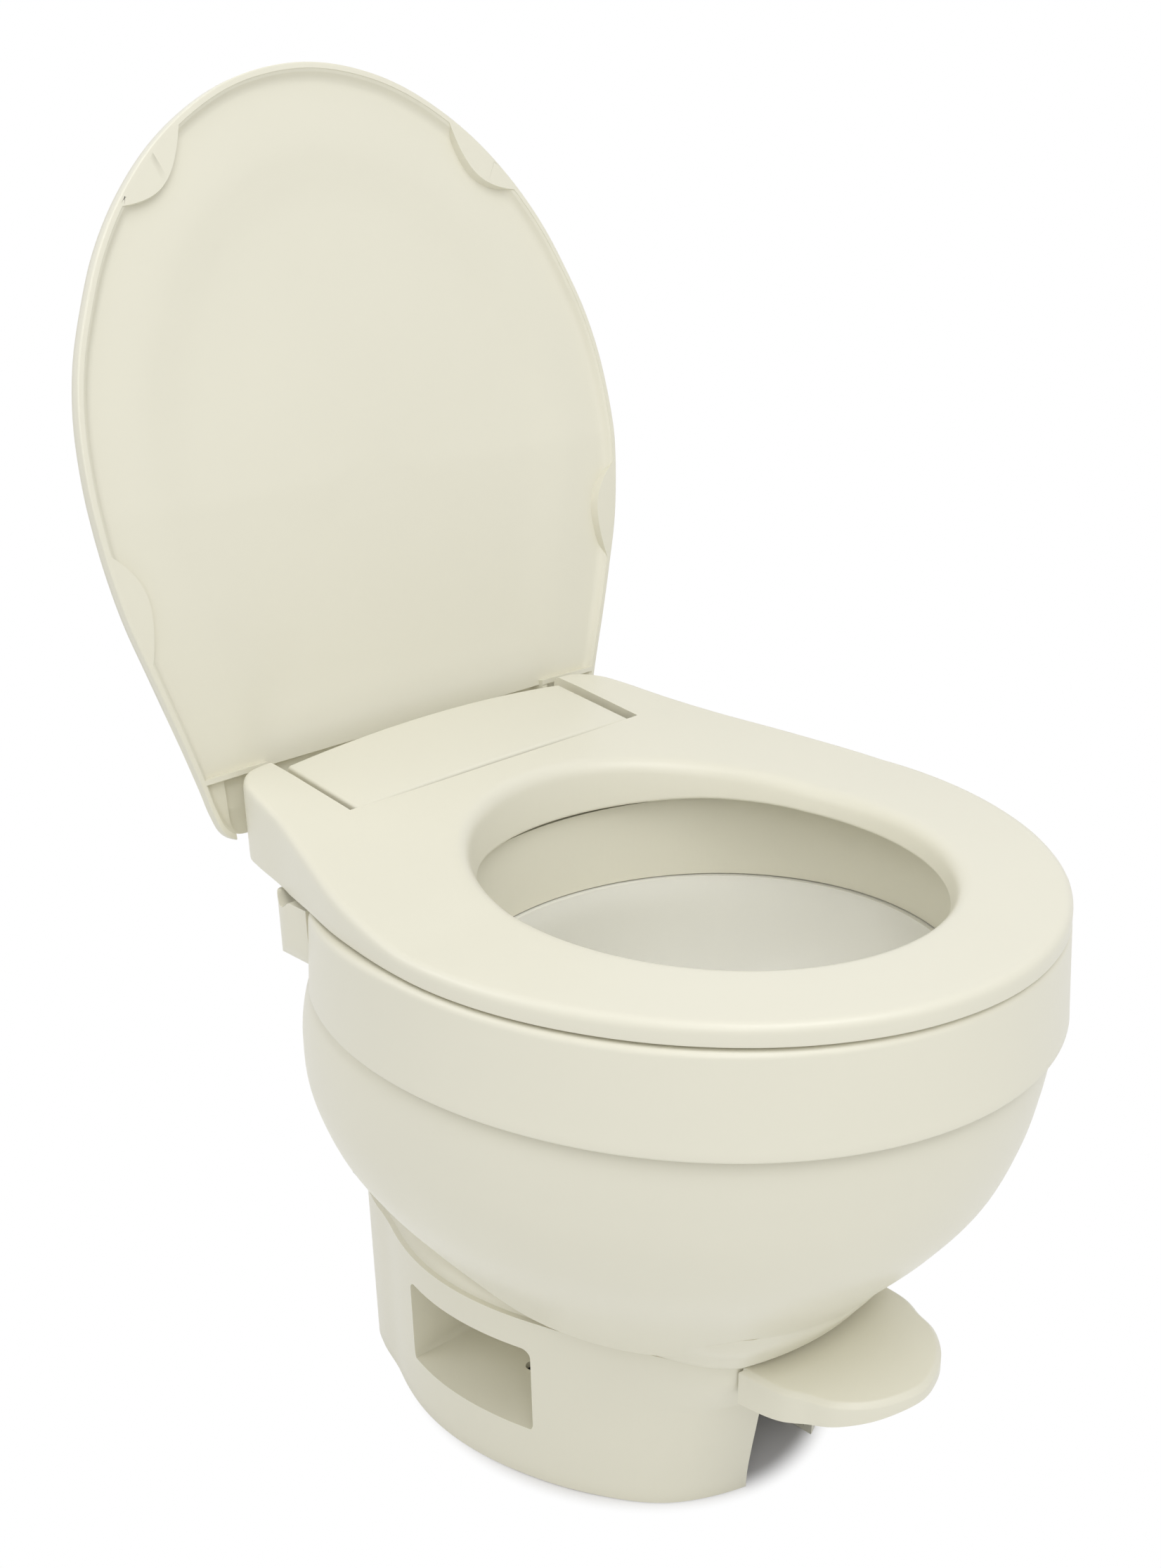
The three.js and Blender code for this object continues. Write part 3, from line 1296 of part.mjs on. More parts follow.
// Torsion spring round the hub: a leg on the base, the turns, then a leg under the lever
function makePedalSpring() {
  const bottom = pivotZ - springRadius;
  const path = [[springLeft, pivotY + springLeg, bottom]];
  const total = springTurns * springSteps;
  for (let i = 0; i <= total; i++) {
    const angle = -Math.PI / 2 - (i / springSteps) * 2 * Math.PI;
    const x = springLeft + ((springRight - springLeft) * i) / total;
    path.push([x, ...polar(pivotY, pivotZ, springRadius, angle)]);
  }
  path.push([springRight, pivotY - springLeg, bottom]);
  return rod(path, springWire, springSides);
}

// A round rod, or a tube when a bore is given, along a list of points
function rod(path, radius, sides, bore = 0) {
  const spots = path.map((p) => new THREE.Vector3(...p));
  const tangents = spots.map((_, i) =>
    spots[Math.min(i + 1, spots.length - 1)].clone().sub(spots[Math.max(i - 1, 0)]).normalize());
  let normal = new THREE.Vector3(0, 0, 1);
  if (Math.abs(tangents[0].z) > 0.9) normal = new THREE.Vector3(1, 0, 0);
  const frames = tangents.map((tangent) => {
    normal = normal.clone().sub(tangent.clone().multiplyScalar(normal.dot(tangent))).normalize();
    return [normal.clone(), tangent.clone().cross(normal)];
  });
  const ring = (i, r) => turns(sides).map((angle) => {
    const p = spots[i].clone();
    p.addScaledVector(frames[i][0], r * Math.cos(angle));
    p.addScaledVector(frames[i][1], r * Math.sin(angle));
    return p.toArray();
  });
  const outer = spots.map((_, i) => ring(i, radius));
  if (!bore) return skin(outer);
  return skin([...outer, ...spots.map((_, i) => ring(i, bore)).reverse()], true);
}

// Pedal pad: a crescent cap over the lever's end
function pedalOutline(inset) {
  const reach = pedalFront - pedalInner;
  const right = pedalOutlineShares.map(([a, b]) => new THREE.Vector3(a * pedalHalfWidth, -pedalInner - b * reach, 0));
  const left = right.slice(0, -1).reverse().map((p) => new THREE.Vector3(-p.x, p.y, 0));
  const outer = new THREE.CatmullRomCurve3([...right, ...left], false, "centripetal").getPoints(26);
  const arcSteps = 10;
  const inner = Array.from({ length: arcSteps - 1 }, (_, i) => {
    const share = (2 * (i + 1)) / arcSteps - 1;
    return new THREE.Vector3(share * pedalHalfWidth, -pedalInner - pedalHollow * (1 - share * share), 0);
  });
  const points = [...outer, ...inner];
  return points.map((p, i) => {
    const before = points[(i + points.length - 1) % points.length];
    const after = points[(i + 1) % points.length];
    const a = p.clone().sub(before).normalize();
    const b = after.clone().sub(p).normalize();
    const sum = a.clone().add(b).normalize();
    const stretch = inset / Math.max(0.6, sum.dot(b));
    return [p.x + sum.y * stretch, p.y - sum.x * stretch];
  });
}

function makePedalPad() {
  const low = (y) => {
    const share = Math.min(1, Math.max(0, (-y - pedalInner) / (pedalFront - pedalInner)));
    return pedalTop - pedalSkirt + (pedalSkirt - pedalTipSkirt) * share ** 1.4;
  };
  const edge = pedalOutline(0);
  const inside = pedalOutline(skinWall);
  const body = slab([[edge, low], [edge, pedalTop - pedalChamfer], [pedalOutline(pedalChamfer), pedalTop]]);
  const hollow = slab([[inside, (y) => low(y) - over], [inside, leverTop + gap]]);
  const archLength = [-pedalInner - pedalHollow - wall * 2, wall - pedalInner];
  const arch = block(around(0, leverHalfWidth + runGap), archLength, [pedalTop - pedalSkirt * 2, leverTop + gap]);
  const pilot = bar("z", 0, padScrewY, screwRadius + gap, leverTop, leverTop + screwRadius, smallFacets);
  return cut(body, hollow, arch, pilot);
}

const padScrewY = -(neckFront + leverFront) / 2;
const padScrewFace = leverTop - leverThickness * 1.2 - gap;

// Pedestal base
const baseOutline = outlineFrom(baseEdgeShares, baseHalfWidth, baseFront, baseRear);

function baseRing(frontReach, inset, z) {
  const centre = baseRear / 4;
  return turns(bodyFacets).map((angle) => {
    const [x, y] = ringPoint(centre, radiusAt(baseOutline, centre, angle) - inset, angle);
    return [x, y * (y < 0 ? frontReach / baseFront : 1), z];
  });
}

function baseRings(inset, lower) {
  const rise = shellBottom - gap - baseTop;
  const [, neckShare] = neckShares[neckShares.length - 1];
  const frontAt = (share) => baseFront + (neckFront - baseFront) * share - inset / 2;
  const neck = neckShares.map(([up, out]) => baseRing(frontAt(out), inset, up * (baseTop - lower)));
  const shoulder = shoulderShares.slice(1).map(([up, inwards]) => {
    const out = neckShare + (1 - neckShare) * Math.min(1, (up * shoulderRise) / rise);
    return baseRing(frontAt(out), inset + shoulderRun * inwards, baseTop - lower + shoulderRise * up);
  });
  return [...neck, ...shoulder];
}

function pocketCutter(side) {
  const reach = baseHalfWidth + wall * 2;
  const profile = [
    [pocketInner, pocketFloor - pocketSlope], [baseHalfWidth, pocketFloor], [reach, pocketFloor],
    [reach, pocketTop], [pocketInner, pocketTop],
  ];
  const section = plate("y", profile, pocketFront, pocketRear);
  const corners = roundedRectangle([pocketFront, pocketRear], [pocketFloor - pocketSlope, pocketTop], pocketCorner);
  const solid = section.intersect(plate("x", corners, pocketInner, reach));
  return side > 0 ? solid : mirrored(solid);
}

// Walls inside the base: pockets, the bridge between them and the bearings of the pedal's pin
function baseInside() {
  const floor = pocketFloor - pocketSlope - wall;
  const length = [pocketFront - pocketWall, pocketRear + pocketWall];
  const bearing = [around(pivotY, bearingHalf), around(pivotZ, bearingHalf)];
  const legFloor = pivotZ - springRadius - springWire - gap;
  const bearingWall = [-bearingLeftFace - wall, -bearingLeftFace];
  return [
    ...bothSides.map((side) =>
      block(span(side, pocketInner - pocketWall, baseHalfWidth + wall), length, [floor, pocketTop + pocketWall])),
    block(around(0, pocketInner), length, [bridgeTop - wall, bridgeTop]),
    block([bearingRightFace, baseHalfWidth], ...bearing),
    block([-baseHalfWidth, -bearingLeftFace], ...bearing),
    block([bearingWall[0], springLeft + 2 * springWire],
      [pivotY + bearingHalf - wall, pivotY + springLeg + wall], [legFloor - wall, legFloor]),
    block(bearingWall, [pivotY, pivotY + springLeg + wall], [legFloor - wall, pivotZ]),
  ];
}

// The post on the left pocket that carries the water valve
function valvePost() {
  const width = [inletRadius + inletSleeve + 2 * gap - camX, 2 * pocketWall - pocketInner];
  const post = block(width, [inletPortY - wall, outletPortY - wall / 2], [pocketTop, shaftZ]);
  return post.subtract(bar("y", -camX, shaftZ, valveRadius + gap, valveFront, valveRear));
}

function baseBores() {
  const notch = roundedRectangle(around(0, notchHalfWidth), [-pedalTop, pedalTop], pocketCorner);
  const boltFloor = pocketFloor - pocketSlope - wall - over;
  return [
    pocketCutter(-1), pocketCutter(1),
    plate("y", notch, -neckFront * 2, -baseFront / 2),
    bar("x", pivotY, pivotZ, pedalPinRadius + gap, pedalPinLeft - gap, pedalPinRight + gap),
    bar("y", -camX, inletZ, inletRadius + 2 * gap, baseRear - shoulderRun, baseRear * 2),
    ...bothSides.map((side) => bar("z", side * boltX, throatY, boltRadius, boltFloor, pocketFloor + over)),
  ];
}

function makeBase() {
  const outer = skin(baseRings(0, 0));
  const [floorRing, ...innerRings] = baseRings(wall, wall);
  const inner = skin([floorRing.map(([x, y]) => [x, y, footHeight]), ...innerRings]);
  const foot = baseFront - footWidth / 2;
  const footHole = skin([baseRing(foot, footWidth, -over), baseRing(foot, footWidth, footHeight + over)]);
  const neckHole = bar("z", 0, throatY, neckOuter + 2 * gap + wall / 2, -over, bridgeTop + over, bodyFacets);
  const shell = cut(outer, inner, footHole).add(outer.intersect(join(...baseInside())));
  const open = cut(shell, shellSkin(gap, gap), pocketCutter(-1), pocketCutter(1), neckHole);
  return cut(open.add(valvePost()), ...baseBores());
}

// Seal between the outlet neck and the floor flange
function makeFloorSeal() {
  return turned("z", 0, throatY, [
    [floorSealInner, 0], [floorSealOuter, 0], [floorSealOuter, floorSealHeight * 0.7],
    [floorSealOuter - floorSealBevel, floorSealHeight], [floorSealInner + floorSealBevel / 2, floorSealHeight],
    [floorSealInner, floorSealHeight * 0.8],
  ], true, bodyFacets);
}

// Cam whose radius grows evenly with its turn, so the plunger moves evenly with the ball
function makeValveCam() {
  const lift = plungerStroke / (Math.PI / 2);
  const steps = 14;
  const early = -20 * degree;
  const late = 115 * degree;
  const rise = Array.from({ length: steps + 1 }, (_, i) => (i / steps) * late).map((at) => [at, camBase + lift * at]);
  const rest = [150, 190, 230, 270, 310].map((turn) => [turn * degree, camBase]);
  const edge = [[early, camBase + lift * early], ...rise, ...rest];
  const outline = edge.map(([angle, radius]) => polar(throatY, shaftZ, radius, angle));
  const [from, to] = around(-camX, camWidth / 2);
  return plate("x", outline, from, to).subtract(squareHole(from - over, to + over));
}

function makeWaterPlunger() {
  const nose = throatY + camBase + camGap;
  const head = plungerRear - plungerHeadLength;
  return turned("y", -camX, shaftZ, [
    [plungerRadius * 0.3, nose], [plungerRadius * 0.75, nose + plungerRadius / 5],
    [plungerRadius, nose + plungerRadius * 0.75], [plungerRadius, head], [plungerRadius + plungerHead, head],
    [plungerRadius + plungerHead, plungerRear],
  ], false, smallFacets);
}

const valvePortLow = shaftZ - valveRadius - valveBevel;

function makeWaterValve() {
  const thin = valveRadius - valveBevel;
  const top = shaftZ + valveRadius;
  const body = turned("y", -camX, shaftZ, [
    [thin, valveFront], [valveRadius, valveFront + valveBevel], [valveRadius, valveRear - valveBevel], [thin, valveRear],
  ]);
  const port = bar("z", -camX, inletPortY, inletRadius + inletSleeve, valvePortLow, shaftZ);
  const barb = turned("z", -camX, outletPortY, [
    [barbRadius + hoseSeat, shaftZ], [barbRadius + hoseSeat, top + hoseSeat], [barbRadius, top + hoseSeat],
    [barbRadius, top + barbLength],
  ], false, smallFacets);
  const chamber = [plungerRear - plungerHeadLength - gap, plungerRear + plungerStroke + 2 * gap];
  return cut(
    join(body, port, barb),
    bar("y", -camX, shaftZ, plungerRadius + gap, valveFront - over, plungerRear, smallFacets),
    bar("y", -camX, shaftZ, plungerRadius + plungerHead + gap, ...chamber, smallFacets),
    bar("z", -camX, inletPortY, inletBore, shaftZ - valveRadius * 2, shaftZ, smallFacets),
    bar("z", -camX, outletPortY, barbRadius / 2, shaftZ, top + barbLength + over, smallFacets),
  );
}

function makeInletPipe() {
  const start = valvePortLow - gap;
  const bend = start - over - inletZ;
  const elbow = turns(24).slice(0, 7).map((angle) =>
    [-camX, inletPortY + bend * (1 - Math.cos(angle)), start - over - bend * Math.sin(angle)]);
  return rod([[-camX, inletPortY, start], ...elbow, [-camX, inletEnd, inletZ]], inletRadius, smallFacets, inletBore);
}

function makeInletNut() {
  const end = inletEnd + inletNutPast;
  const hex = bar("y", -camX, inletZ, inletNutRadius, end - inletNutLength, end, hexFacets);
  return hex.subtract(bar("y", -camX, inletZ, inletRadius + gap, end - inletNutLength - over, end + over));
}

// Hoses and vacuum breaker
// A hose runs straight over the barb at each end and bends in between
function hosePath(start, middle, end, steps) {
  const curve = new THREE.CatmullRomCurve3(middle.map((p) => new THREE.Vector3(...p)), false, "centripetal");
  return [start, ...curve.getPoints(steps).map((p) => p.toArray()), end];
}

function makeLowerHose() {
  const start = shaftZ + valveRadius + hoseSeat + gap;
  const end = breakerBottom - gap;
  const [sway, drift] = [breakerX + camX, breakerY - outletPortY];
  const middle = lowerHoseShares.map(([up, across]) =>
    [sway * across - camX, outletPortY + drift * across, start + (end - start) * up]);
  return rod(hosePath([-camX, outletPortY, start], middle, [breakerX, breakerY, end], 10), hoseRadius, hoseSides, hoseBore);
}

function makeVacuumBreaker() {
  const top = deckTop - scoopDepth - wall - over;
  const thin = breakerRadius - breakerBevel;
  const low = breakerBottom - barbLength;
  const side = breakerX - breakerRadius - barbLength;
  const body = turned("z", breakerX, breakerY, [
    [barbRadius, low], [barbRadius, breakerBottom], [thin, breakerBottom], [breakerRadius, breakerBottom + breakerBevel],
    [breakerRadius, top - breakerCap - breakerBevel], [thin, top - breakerCap], [thin, top],
  ]);
  return cut(
    body.add(bar("x", breakerY, breakerOutletZ, barbRadius, side, breakerX, smallFacets)),
    bar("z", breakerX, breakerY, barbRadius / 2, low - over, breakerOutletZ, smallFacets),
    bar("x", breakerY, breakerOutletZ, barbRadius / 2, side - over, breakerX, smallFacets),
  );
}

function makeUpperHose() {
  const [nozzleX, nozzleY] = nozzleSpot();
  const start = [breakerX - breakerRadius - 2 * gap, breakerY, breakerOutletZ];
  const end = [nozzleX - 2 * gap - nozzleFlange, nozzleY, nozzleZ];
  const from = start[0] - barbLength;
  const run = end[0] - barbLength - from;
  const [reach, rise] = [nozzleY - breakerY, nozzleZ - breakerOutletZ];
  const middle = upperHoseShares.map(([a, b, c]) => [from + run * a, breakerY + reach * b, breakerOutletZ + rise * c]);
  return rod(hosePath(start, middle, end, 18), upperHoseRadius, hoseSides, hoseBore);
}

// Scene graph
const object = new THREE.Group();
object.name = "camper_toilet";

function addPiece(parent, name, solid, material) {
  const made = solid.getMesh();
  const geometry = new THREE.BufferGeometry();
  geometry.setAttribute("position", new THREE.BufferAttribute(Float32Array.from(made.vertProperties), 3));
  geometry.setIndex(new THREE.BufferAttribute(Uint32Array.from(made.triVerts), 1));
  geometry.computeVertexNormals();
  const mesh = new THREE.Mesh(geometry, material());
  mesh.name = name;
  parent.add(mesh);
}

const sideNames = [[-1, "left"], [1, "right"]];

addPiece(object, "pedestal_base", makeBase(), plastic);
addPiece(object, "bowl_shell", makeBowlShell(), plastic);
addPiece(object, "rim_band", makeRimBand(), plastic);
addPiece(object, "inner_bowl", makeInnerBowl(), plastic);
addPiece(object, "seat", makeSeat(), plastic);
addPiece(object, "hinge_cover", makeHingeCover(), plastic);
addPiece(object, "hinge_block", makeHingeBlock(), plastic);
addPiece(object, "pedal_pad", makePedalPad(), plastic);
addPiece(object, "pedal_lever", makePedalLever(), greyNylon);
addPiece(object, "pedal_pin", makePin(pivotY, pivotZ, pedalPinRadius, [pedalPinLeft, pedalPinRight]), steel);
addPiece(object, "pedal_spring", makePedalSpring(), steel);
addPiece(object, "valve_housing", makeValveHousing(), paleSeal);
addPiece(object, "ball_seal", makeBallSeal(), darkRubber);
addPiece(object, "waste_ball", makeWasteBall(), greyNylon);
addPiece(object, "drive_shaft", makeShaft(1), steel);
addPiece(object, "idle_shaft", makeShaft(-1), steel);
addPiece(object, "drive_pinion", makePinion(), greyNylon);
addPiece(object, "valve_cam", makeValveCam(), greyNylon);
addPiece(object, "water_valve", makeWaterValve(), paleSeal);
addPiece(object, "water_plunger", makeWaterPlunger(), brass);
addPiece(object, "inlet_pipe", makeInletPipe(), paleSeal);
addPiece(object, "inlet_nut", makeInletNut(), greyNylon);
addPiece(object, "lower_hose", makeLowerHose(), clearHose);
addPiece(object, "upper_hose", makeUpperHose(), clearHose);
addPiece(object, "vacuum_breaker", makeVacuumBreaker(), paleSeal);
addPiece(object, "rinse_nozzle", makeRinseNozzle(), paleSeal);
addPiece(object, "floor_seal", makeFloorSeal(), darkRubber);
const padScrewLength = leverTop + screwRadius - 2 * gap - padScrewFace;
addPiece(object, "pad_screw", makeScrew(0, padScrewY, padScrewFace, 1, padScrewLength), steel);

const hingeScrewFace = deckTop + 2 * gap + blockPlate;
for (const [side, word] of sideNames) {
  const pin = makePin(hingeY, hingeZ, hingePinRadius, span(side, hingePinInner, hingePinOuter));
  const screw = makeScrew(side * hingeScrewX, hingeScrewY, hingeScrewFace, -1, screwLength);
  addPiece(object, "hinge_pin_" + word, pin, steel);
  addPiece(object, "hinge_screw_" + word, screw, steel);
  addPiece(object, "hinge_bush_" + word, makeHingeBush(side), greyNylon);
  addPiece(object, "shaft_seal_" + word, makeShaftSeal(side), darkRubber);
  seatBumperAngles.forEach((angle, i) => {
    addPiece(object, "seat_bumper_" + word + "_" + (i + 1), makeSeatBumper(angle, side), darkRubber);
  });
}

throatScrewSpots().forEach(([x, y], i) => {
  addPiece(object, "throat_screw_" + (i + 1), makeScrew(x, y, flangeBottom - gap, 1, screwLength), steel);
});

// The lid turns about the hinge line; its group stands at the rest angle
const lidGroup = new THREE.Group();
lidGroup.position.set(0, hingeY, hingeZ);
lidGroup.rotation.x = -lidOpen * degree;
object.add(lidGroup);
addPiece(lidGroup, "lid", makeLid().translate([0, -hingeY, -hingeZ]), plastic);

// The origin is under the middle of the whole object
object.updateMatrixWorld(true);
const box = new THREE.Box3().setFromObject(object, true);
object.position.y = -(box.min.y + box.max.y) / 2;
object.updateMatrixWorld(true);

export default object;
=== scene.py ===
"""A camper toilet on a white studio floor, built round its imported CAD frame."""
import json
import math

import bmesh
import bpy
import numpy as np
from mathutils import Matrix, Vector


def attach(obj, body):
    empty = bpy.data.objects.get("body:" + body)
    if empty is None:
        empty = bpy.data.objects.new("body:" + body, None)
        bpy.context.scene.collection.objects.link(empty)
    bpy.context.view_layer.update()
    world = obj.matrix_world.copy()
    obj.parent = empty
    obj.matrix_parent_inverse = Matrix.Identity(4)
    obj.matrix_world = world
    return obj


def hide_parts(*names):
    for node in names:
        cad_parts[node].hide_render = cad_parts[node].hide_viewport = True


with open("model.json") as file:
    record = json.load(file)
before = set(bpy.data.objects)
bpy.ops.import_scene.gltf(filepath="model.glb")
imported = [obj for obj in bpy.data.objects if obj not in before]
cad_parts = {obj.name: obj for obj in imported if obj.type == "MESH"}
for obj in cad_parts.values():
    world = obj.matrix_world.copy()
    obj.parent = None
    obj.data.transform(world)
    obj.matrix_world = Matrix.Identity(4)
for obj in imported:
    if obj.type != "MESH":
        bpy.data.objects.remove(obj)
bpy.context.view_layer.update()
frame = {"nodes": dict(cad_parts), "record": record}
scene = bpy.context.scene
nodes = frame["nodes"]
SHIFT = -0.031754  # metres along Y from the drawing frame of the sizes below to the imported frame
MILLIMETRE = 0.001

# Camera: the photograph's place and direction in metres, with its off-centre axis
CAMERA_PLACE = (-0.6402, -0.6072 + SHIFT, 0.7428)
CAMERA_RIGHT = (0.6871, -0.7266, 0.0)
CAMERA_UP = (0.2874, 0.2717, 0.9184)
CAMERA_LENS = 40.363
CAMERA_SHIFT = (-0.06037, 0.04964)


def add_camera():
    data = bpy.data.cameras.new("camera")
    data.sensor_width = 36.0
    data.lens = CAMERA_LENS
    data.shift_x, data.shift_y = CAMERA_SHIFT
    data.clip_start = 0.05
    camera = bpy.data.objects.new("camera", data)
    right = Vector(CAMERA_RIGHT)
    back = right.cross(Vector(CAMERA_UP)).normalized()
    up = back.cross(right).normalized()
    turn = Matrix((right.normalized(), up, back)).transposed().to_4x4()
    camera.matrix_world = Matrix.Translation(CAMERA_PLACE) @ turn
    scene.collection.objects.link(camera)
    scene.camera = camera


def linear(red, green, blue):
    def one(value):
        value /= 255.0
        return value / 12.92 if value <= 0.04045 else ((value + 0.055) / 1.055) ** 2.4

    return (one(red), one(green), one(blue), 1.0)


# Shader trees: an owner's tree starts bare, and a node comes with its settings
def bare_tree(owner):
    owner.use_nodes = True
    owner.node_tree.nodes.clear()
    return owner.node_tree


def add_node(tree, kind, values=None, **settings):
    node = tree.nodes.new(kind)
    for key, value in settings.items():
        setattr(node, key, value)
    for key, value in (values or {}).items():
        node.inputs[key].default_value = value
    return node


# Cloudy tone of a material, with painted shade darkening its hollows by the given share
def base_colour(tree, coordinates, colour, spread, hollow_shade):
    link = tree.links.new
    cloud = add_node(tree, "ShaderNodeTexNoise", {"Scale": 7.0, "Detail": 3.0})
    link(coordinates, cloud.inputs["Vector"])
    dark = tuple(c * (1.0 - spread) for c in colour[:3]) + (1.0,)
    light = tuple(min(1.0, c * (1.0 + spread * 0.6)) for c in colour[:3]) + (1.0,)
    tone = add_node(tree, "ShaderNodeMix", data_type="RGBA")
    tone.inputs["A"].default_value = dark
    tone.inputs["B"].default_value = light
    link(cloud.outputs["Fac"], tone.inputs["Factor"])
    if not hollow_shade:
        return tone.outputs["Result"]
    # Painted shade: the colour turns a darker brown where ambient occlusion finds a hollow
    hollow = add_node(tree, "ShaderNodeAmbientOcclusion", {"Distance": 0.012}, samples=6)
    limits = {"From Min": 0.35, "From Max": 0.95, "To Min": hollow_shade, "To Max": 0.0}
    curve = add_node(tree, "ShaderNodeMapRange", limits)
    link(hollow.outputs["AO"], curve.inputs["Value"])
    shaded_tone = add_node(tree, "ShaderNodeMix", data_type="RGBA")
    link(curve.outputs["Result"], shaded_tone.inputs["Factor"])
    link(tone.outputs["Result"], shaded_tone.inputs["A"])
    shaded_tone.inputs["B"].default_value = (colour[0] * 0.45, colour[1] * 0.42, colour[2] * 0.34, 1.0)
    return shaded_tone.outputs["Result"]


# Materials, each with its own colour variation, roughness and bump
def material(name, colour, roughness, grain, bump, hollow_shade, metallic=0.0, spread=0.03, translucence=0.0):
    made = bpy.data.materials.new(name)
    tree = bare_tree(made)
    link = tree.links.new
    out = add_node(tree, "ShaderNodeOutputMaterial")
    shader = add_node(tree, "ShaderNodeBsdfPrincipled", {"Metallic": metallic})
    link(shader.outputs["BSDF"], out.inputs["Surface"])
    coordinates = add_node(tree, "ShaderNodeTexCoord").outputs["Object"]
    link(base_colour(tree, coordinates, colour, spread, hollow_shade), shader.inputs["Base Color"])
    fine = add_node(tree, "ShaderNodeTexNoise", {"Scale": grain, "Detail": 4.0})
    link(coordinates, fine.inputs["Vector"])
    limits = {"To Min": max(0.02, roughness - 0.05), "To Max": min(1.0, roughness + 0.06)}
    rough = add_node(tree, "ShaderNodeMapRange", limits)
    link(fine.outputs["Fac"], rough.inputs["Value"])
    link(rough.outputs["Result"], shader.inputs["Roughness"])
    relief = add_node(tree, "ShaderNodeBump", {"Strength": bump, "Distance": 0.001})
    link(fine.outputs["Fac"], relief.inputs["Height"])
    link(relief.outputs["Normal"], shader.inputs["Normal"])
    if translucence:
        shader.inputs["Subsurface Weight"].default_value = translucence
        shader.inputs["Subsurface Radius"].default_value = (0.006, 0.005, 0.003)
        shader.inputs["Subsurface Scale"].default_value = 1.0
    return made


# Colour, roughness, grain, bump and share of painted shade in the hollows of each material, and what only it
# has
LOOKS = {
    "bone_plastic": (linear(236, 233, 216), 0.34, 260.0, 0.05, 0.12, {}),
    # Painted light: a lighter, less yellow copy of the bone plastic for the inside of the bowl, against its
    # dim, warm light
    "bowl_plastic_lit": (linear(245, 244, 236), 0.22, 260.0, 0.04, 0.08, {}),
    "pale_plastic": (linear(214, 211, 200), 0.5, 180.0, 0.08, 0.4, {}),
    "grey_nylon": (linear(120, 122, 120), 0.5, 220.0, 0.1, 0.3, {}),
    "black_rubber": (linear(38, 38, 38), 0.75, 300.0, 0.15, 0.0, {"spread": 0.12}),
    "steel": (linear(196, 198, 202), 0.28, 400.0, 0.04, 0.3, {"metallic": 1.0}),
    "brass": (linear(196, 164, 96), 0.32, 320.0, 0.05, 0.3, {"metallic": 1.0}),
    "hose_plastic": (linear(206, 210, 206), 0.35, 120.0, 0.05, 0.0, {"translucence": 0.2}),
}
materials = {name: material(name, *look[:-1], **look[-1]) for name, look in LOOKS.items()}


# Smooth shading by angle as a modifier, so the CAD meshes stay as they are
SMOOTH_ANGLE = math.radians(34)


def smooth_group():
    group = bpy.data.node_groups.new("smooth_by_angle", "GeometryNodeTree")
    for way in ("INPUT", "OUTPUT"):
        group.interface.new_socket("Geometry", in_out=way, socket_type="NodeSocketGeometry")
    link = group.links.new
    start = add_node(group, "NodeGroupInput")
    end = add_node(group, "NodeGroupOutput")
    angle = add_node(group, "GeometryNodeInputMeshEdgeAngle")
    flat = add_node(group, "FunctionNodeCompare", {"B": SMOOTH_ANGLE}, operation="LESS_THAN")
    link(angle.outputs["Unsigned Angle"], flat.inputs["A"])
    faces = add_node(group, "GeometryNodeSetShadeSmooth", domain="FACE")
    edges = add_node(group, "GeometryNodeSetShadeSmooth", domain="EDGE")
    link(start.outputs["Geometry"], faces.inputs["Geometry"])
    link(faces.outputs["Geometry"], edges.inputs["Geometry"])
    link(flat.outputs["Result"], edges.inputs["Shade Smooth"])
    link(edges.outputs["Geometry"], end.inputs["Geometry"])
    return group


smooth = smooth_group()


def finish_surface(item, material_name):
    item.data.materials.clear()
    item.data.materials.append(materials[material_name])
    item.modifiers.new("smooth", "NODES").node_group = smooth


slots = {entry["node"]: entry["material_slot"] for entry in frame["record"]["subparts"]}
for node_name, node in nodes.items():
    finish_surface(node, slots[node_name])


# Sizes of the part in millimetres; y is 0 at the seat's widest line and the front faces -y
GAP = 0.3  # between pieces that rest on each other
RUN_GAP = 0.6  # round a turning piece
OVER = 2  # how far a cutter runs past what it cuts
WALL = 4
SKIN = 3  # thinner walls
MERGE = 1e-4  # points closer than this are one
TINY = 1e-6
MOST_ROUND = 0.48  # share of an edge that a rounding may take

# Points round an outline and sides of a round bar
SMOOTH_TURNS = 256
HOLE_POINTS = 400
BAR_SIDES = 48
SMALL_SIDES = 24
BOLT_SIDES = 32
WIDE_SIDES = 96
ROOM_SIDES = 128
SWEEP_SIDES = 160
FINE_TURNS = (128, 172)  # the seat's section is set closer between these angles, round its ears
FINE_STEPS = (1.5, 0.5, 1.0)

# Seat
SEAT_Z = 373.5  # its top at the front
SEAT_HALF = 189
SEAT_FRONT = 222.7
SEAT_REAR = 214
HINGE_Y = 184
HINGE_Z = 366
HINGE_EYE = 10
PIN = 4
PIN_OUTER = 127
BUSH_RADIUS = 6
BUSH_LENGTH = 8
EDGE_DEPTH = 11.5
EDGE_ROUND = 5
EDGE_RUN = 20
NOTCH_FRONT = 137  # the notch for the hinge cover starts here
EAR_INNER = 112
EAR_SWEEP = 41  # the ears stay inside this radius about the hinge
EAR_DROP = 12
EAR_RUN = 139
EAR_BEND = 1.5
RING_SIDE = 69.8  # width of the ring beside, before and behind the opening
RING_FRONT = 59.4
RING_REAR = 26.2
OPENING_RUN = 18
OPENING_EDGE = 0.8
LIP_DROP = 14.5
LIP_IN = 4
LIP_BELOW = 3  # the lip hangs this far below the seat's edge at the front
LIP_RUN = 60
RAMP_RISE = 24
RAMP_RUN = 185
RIM_GAP = 1.6
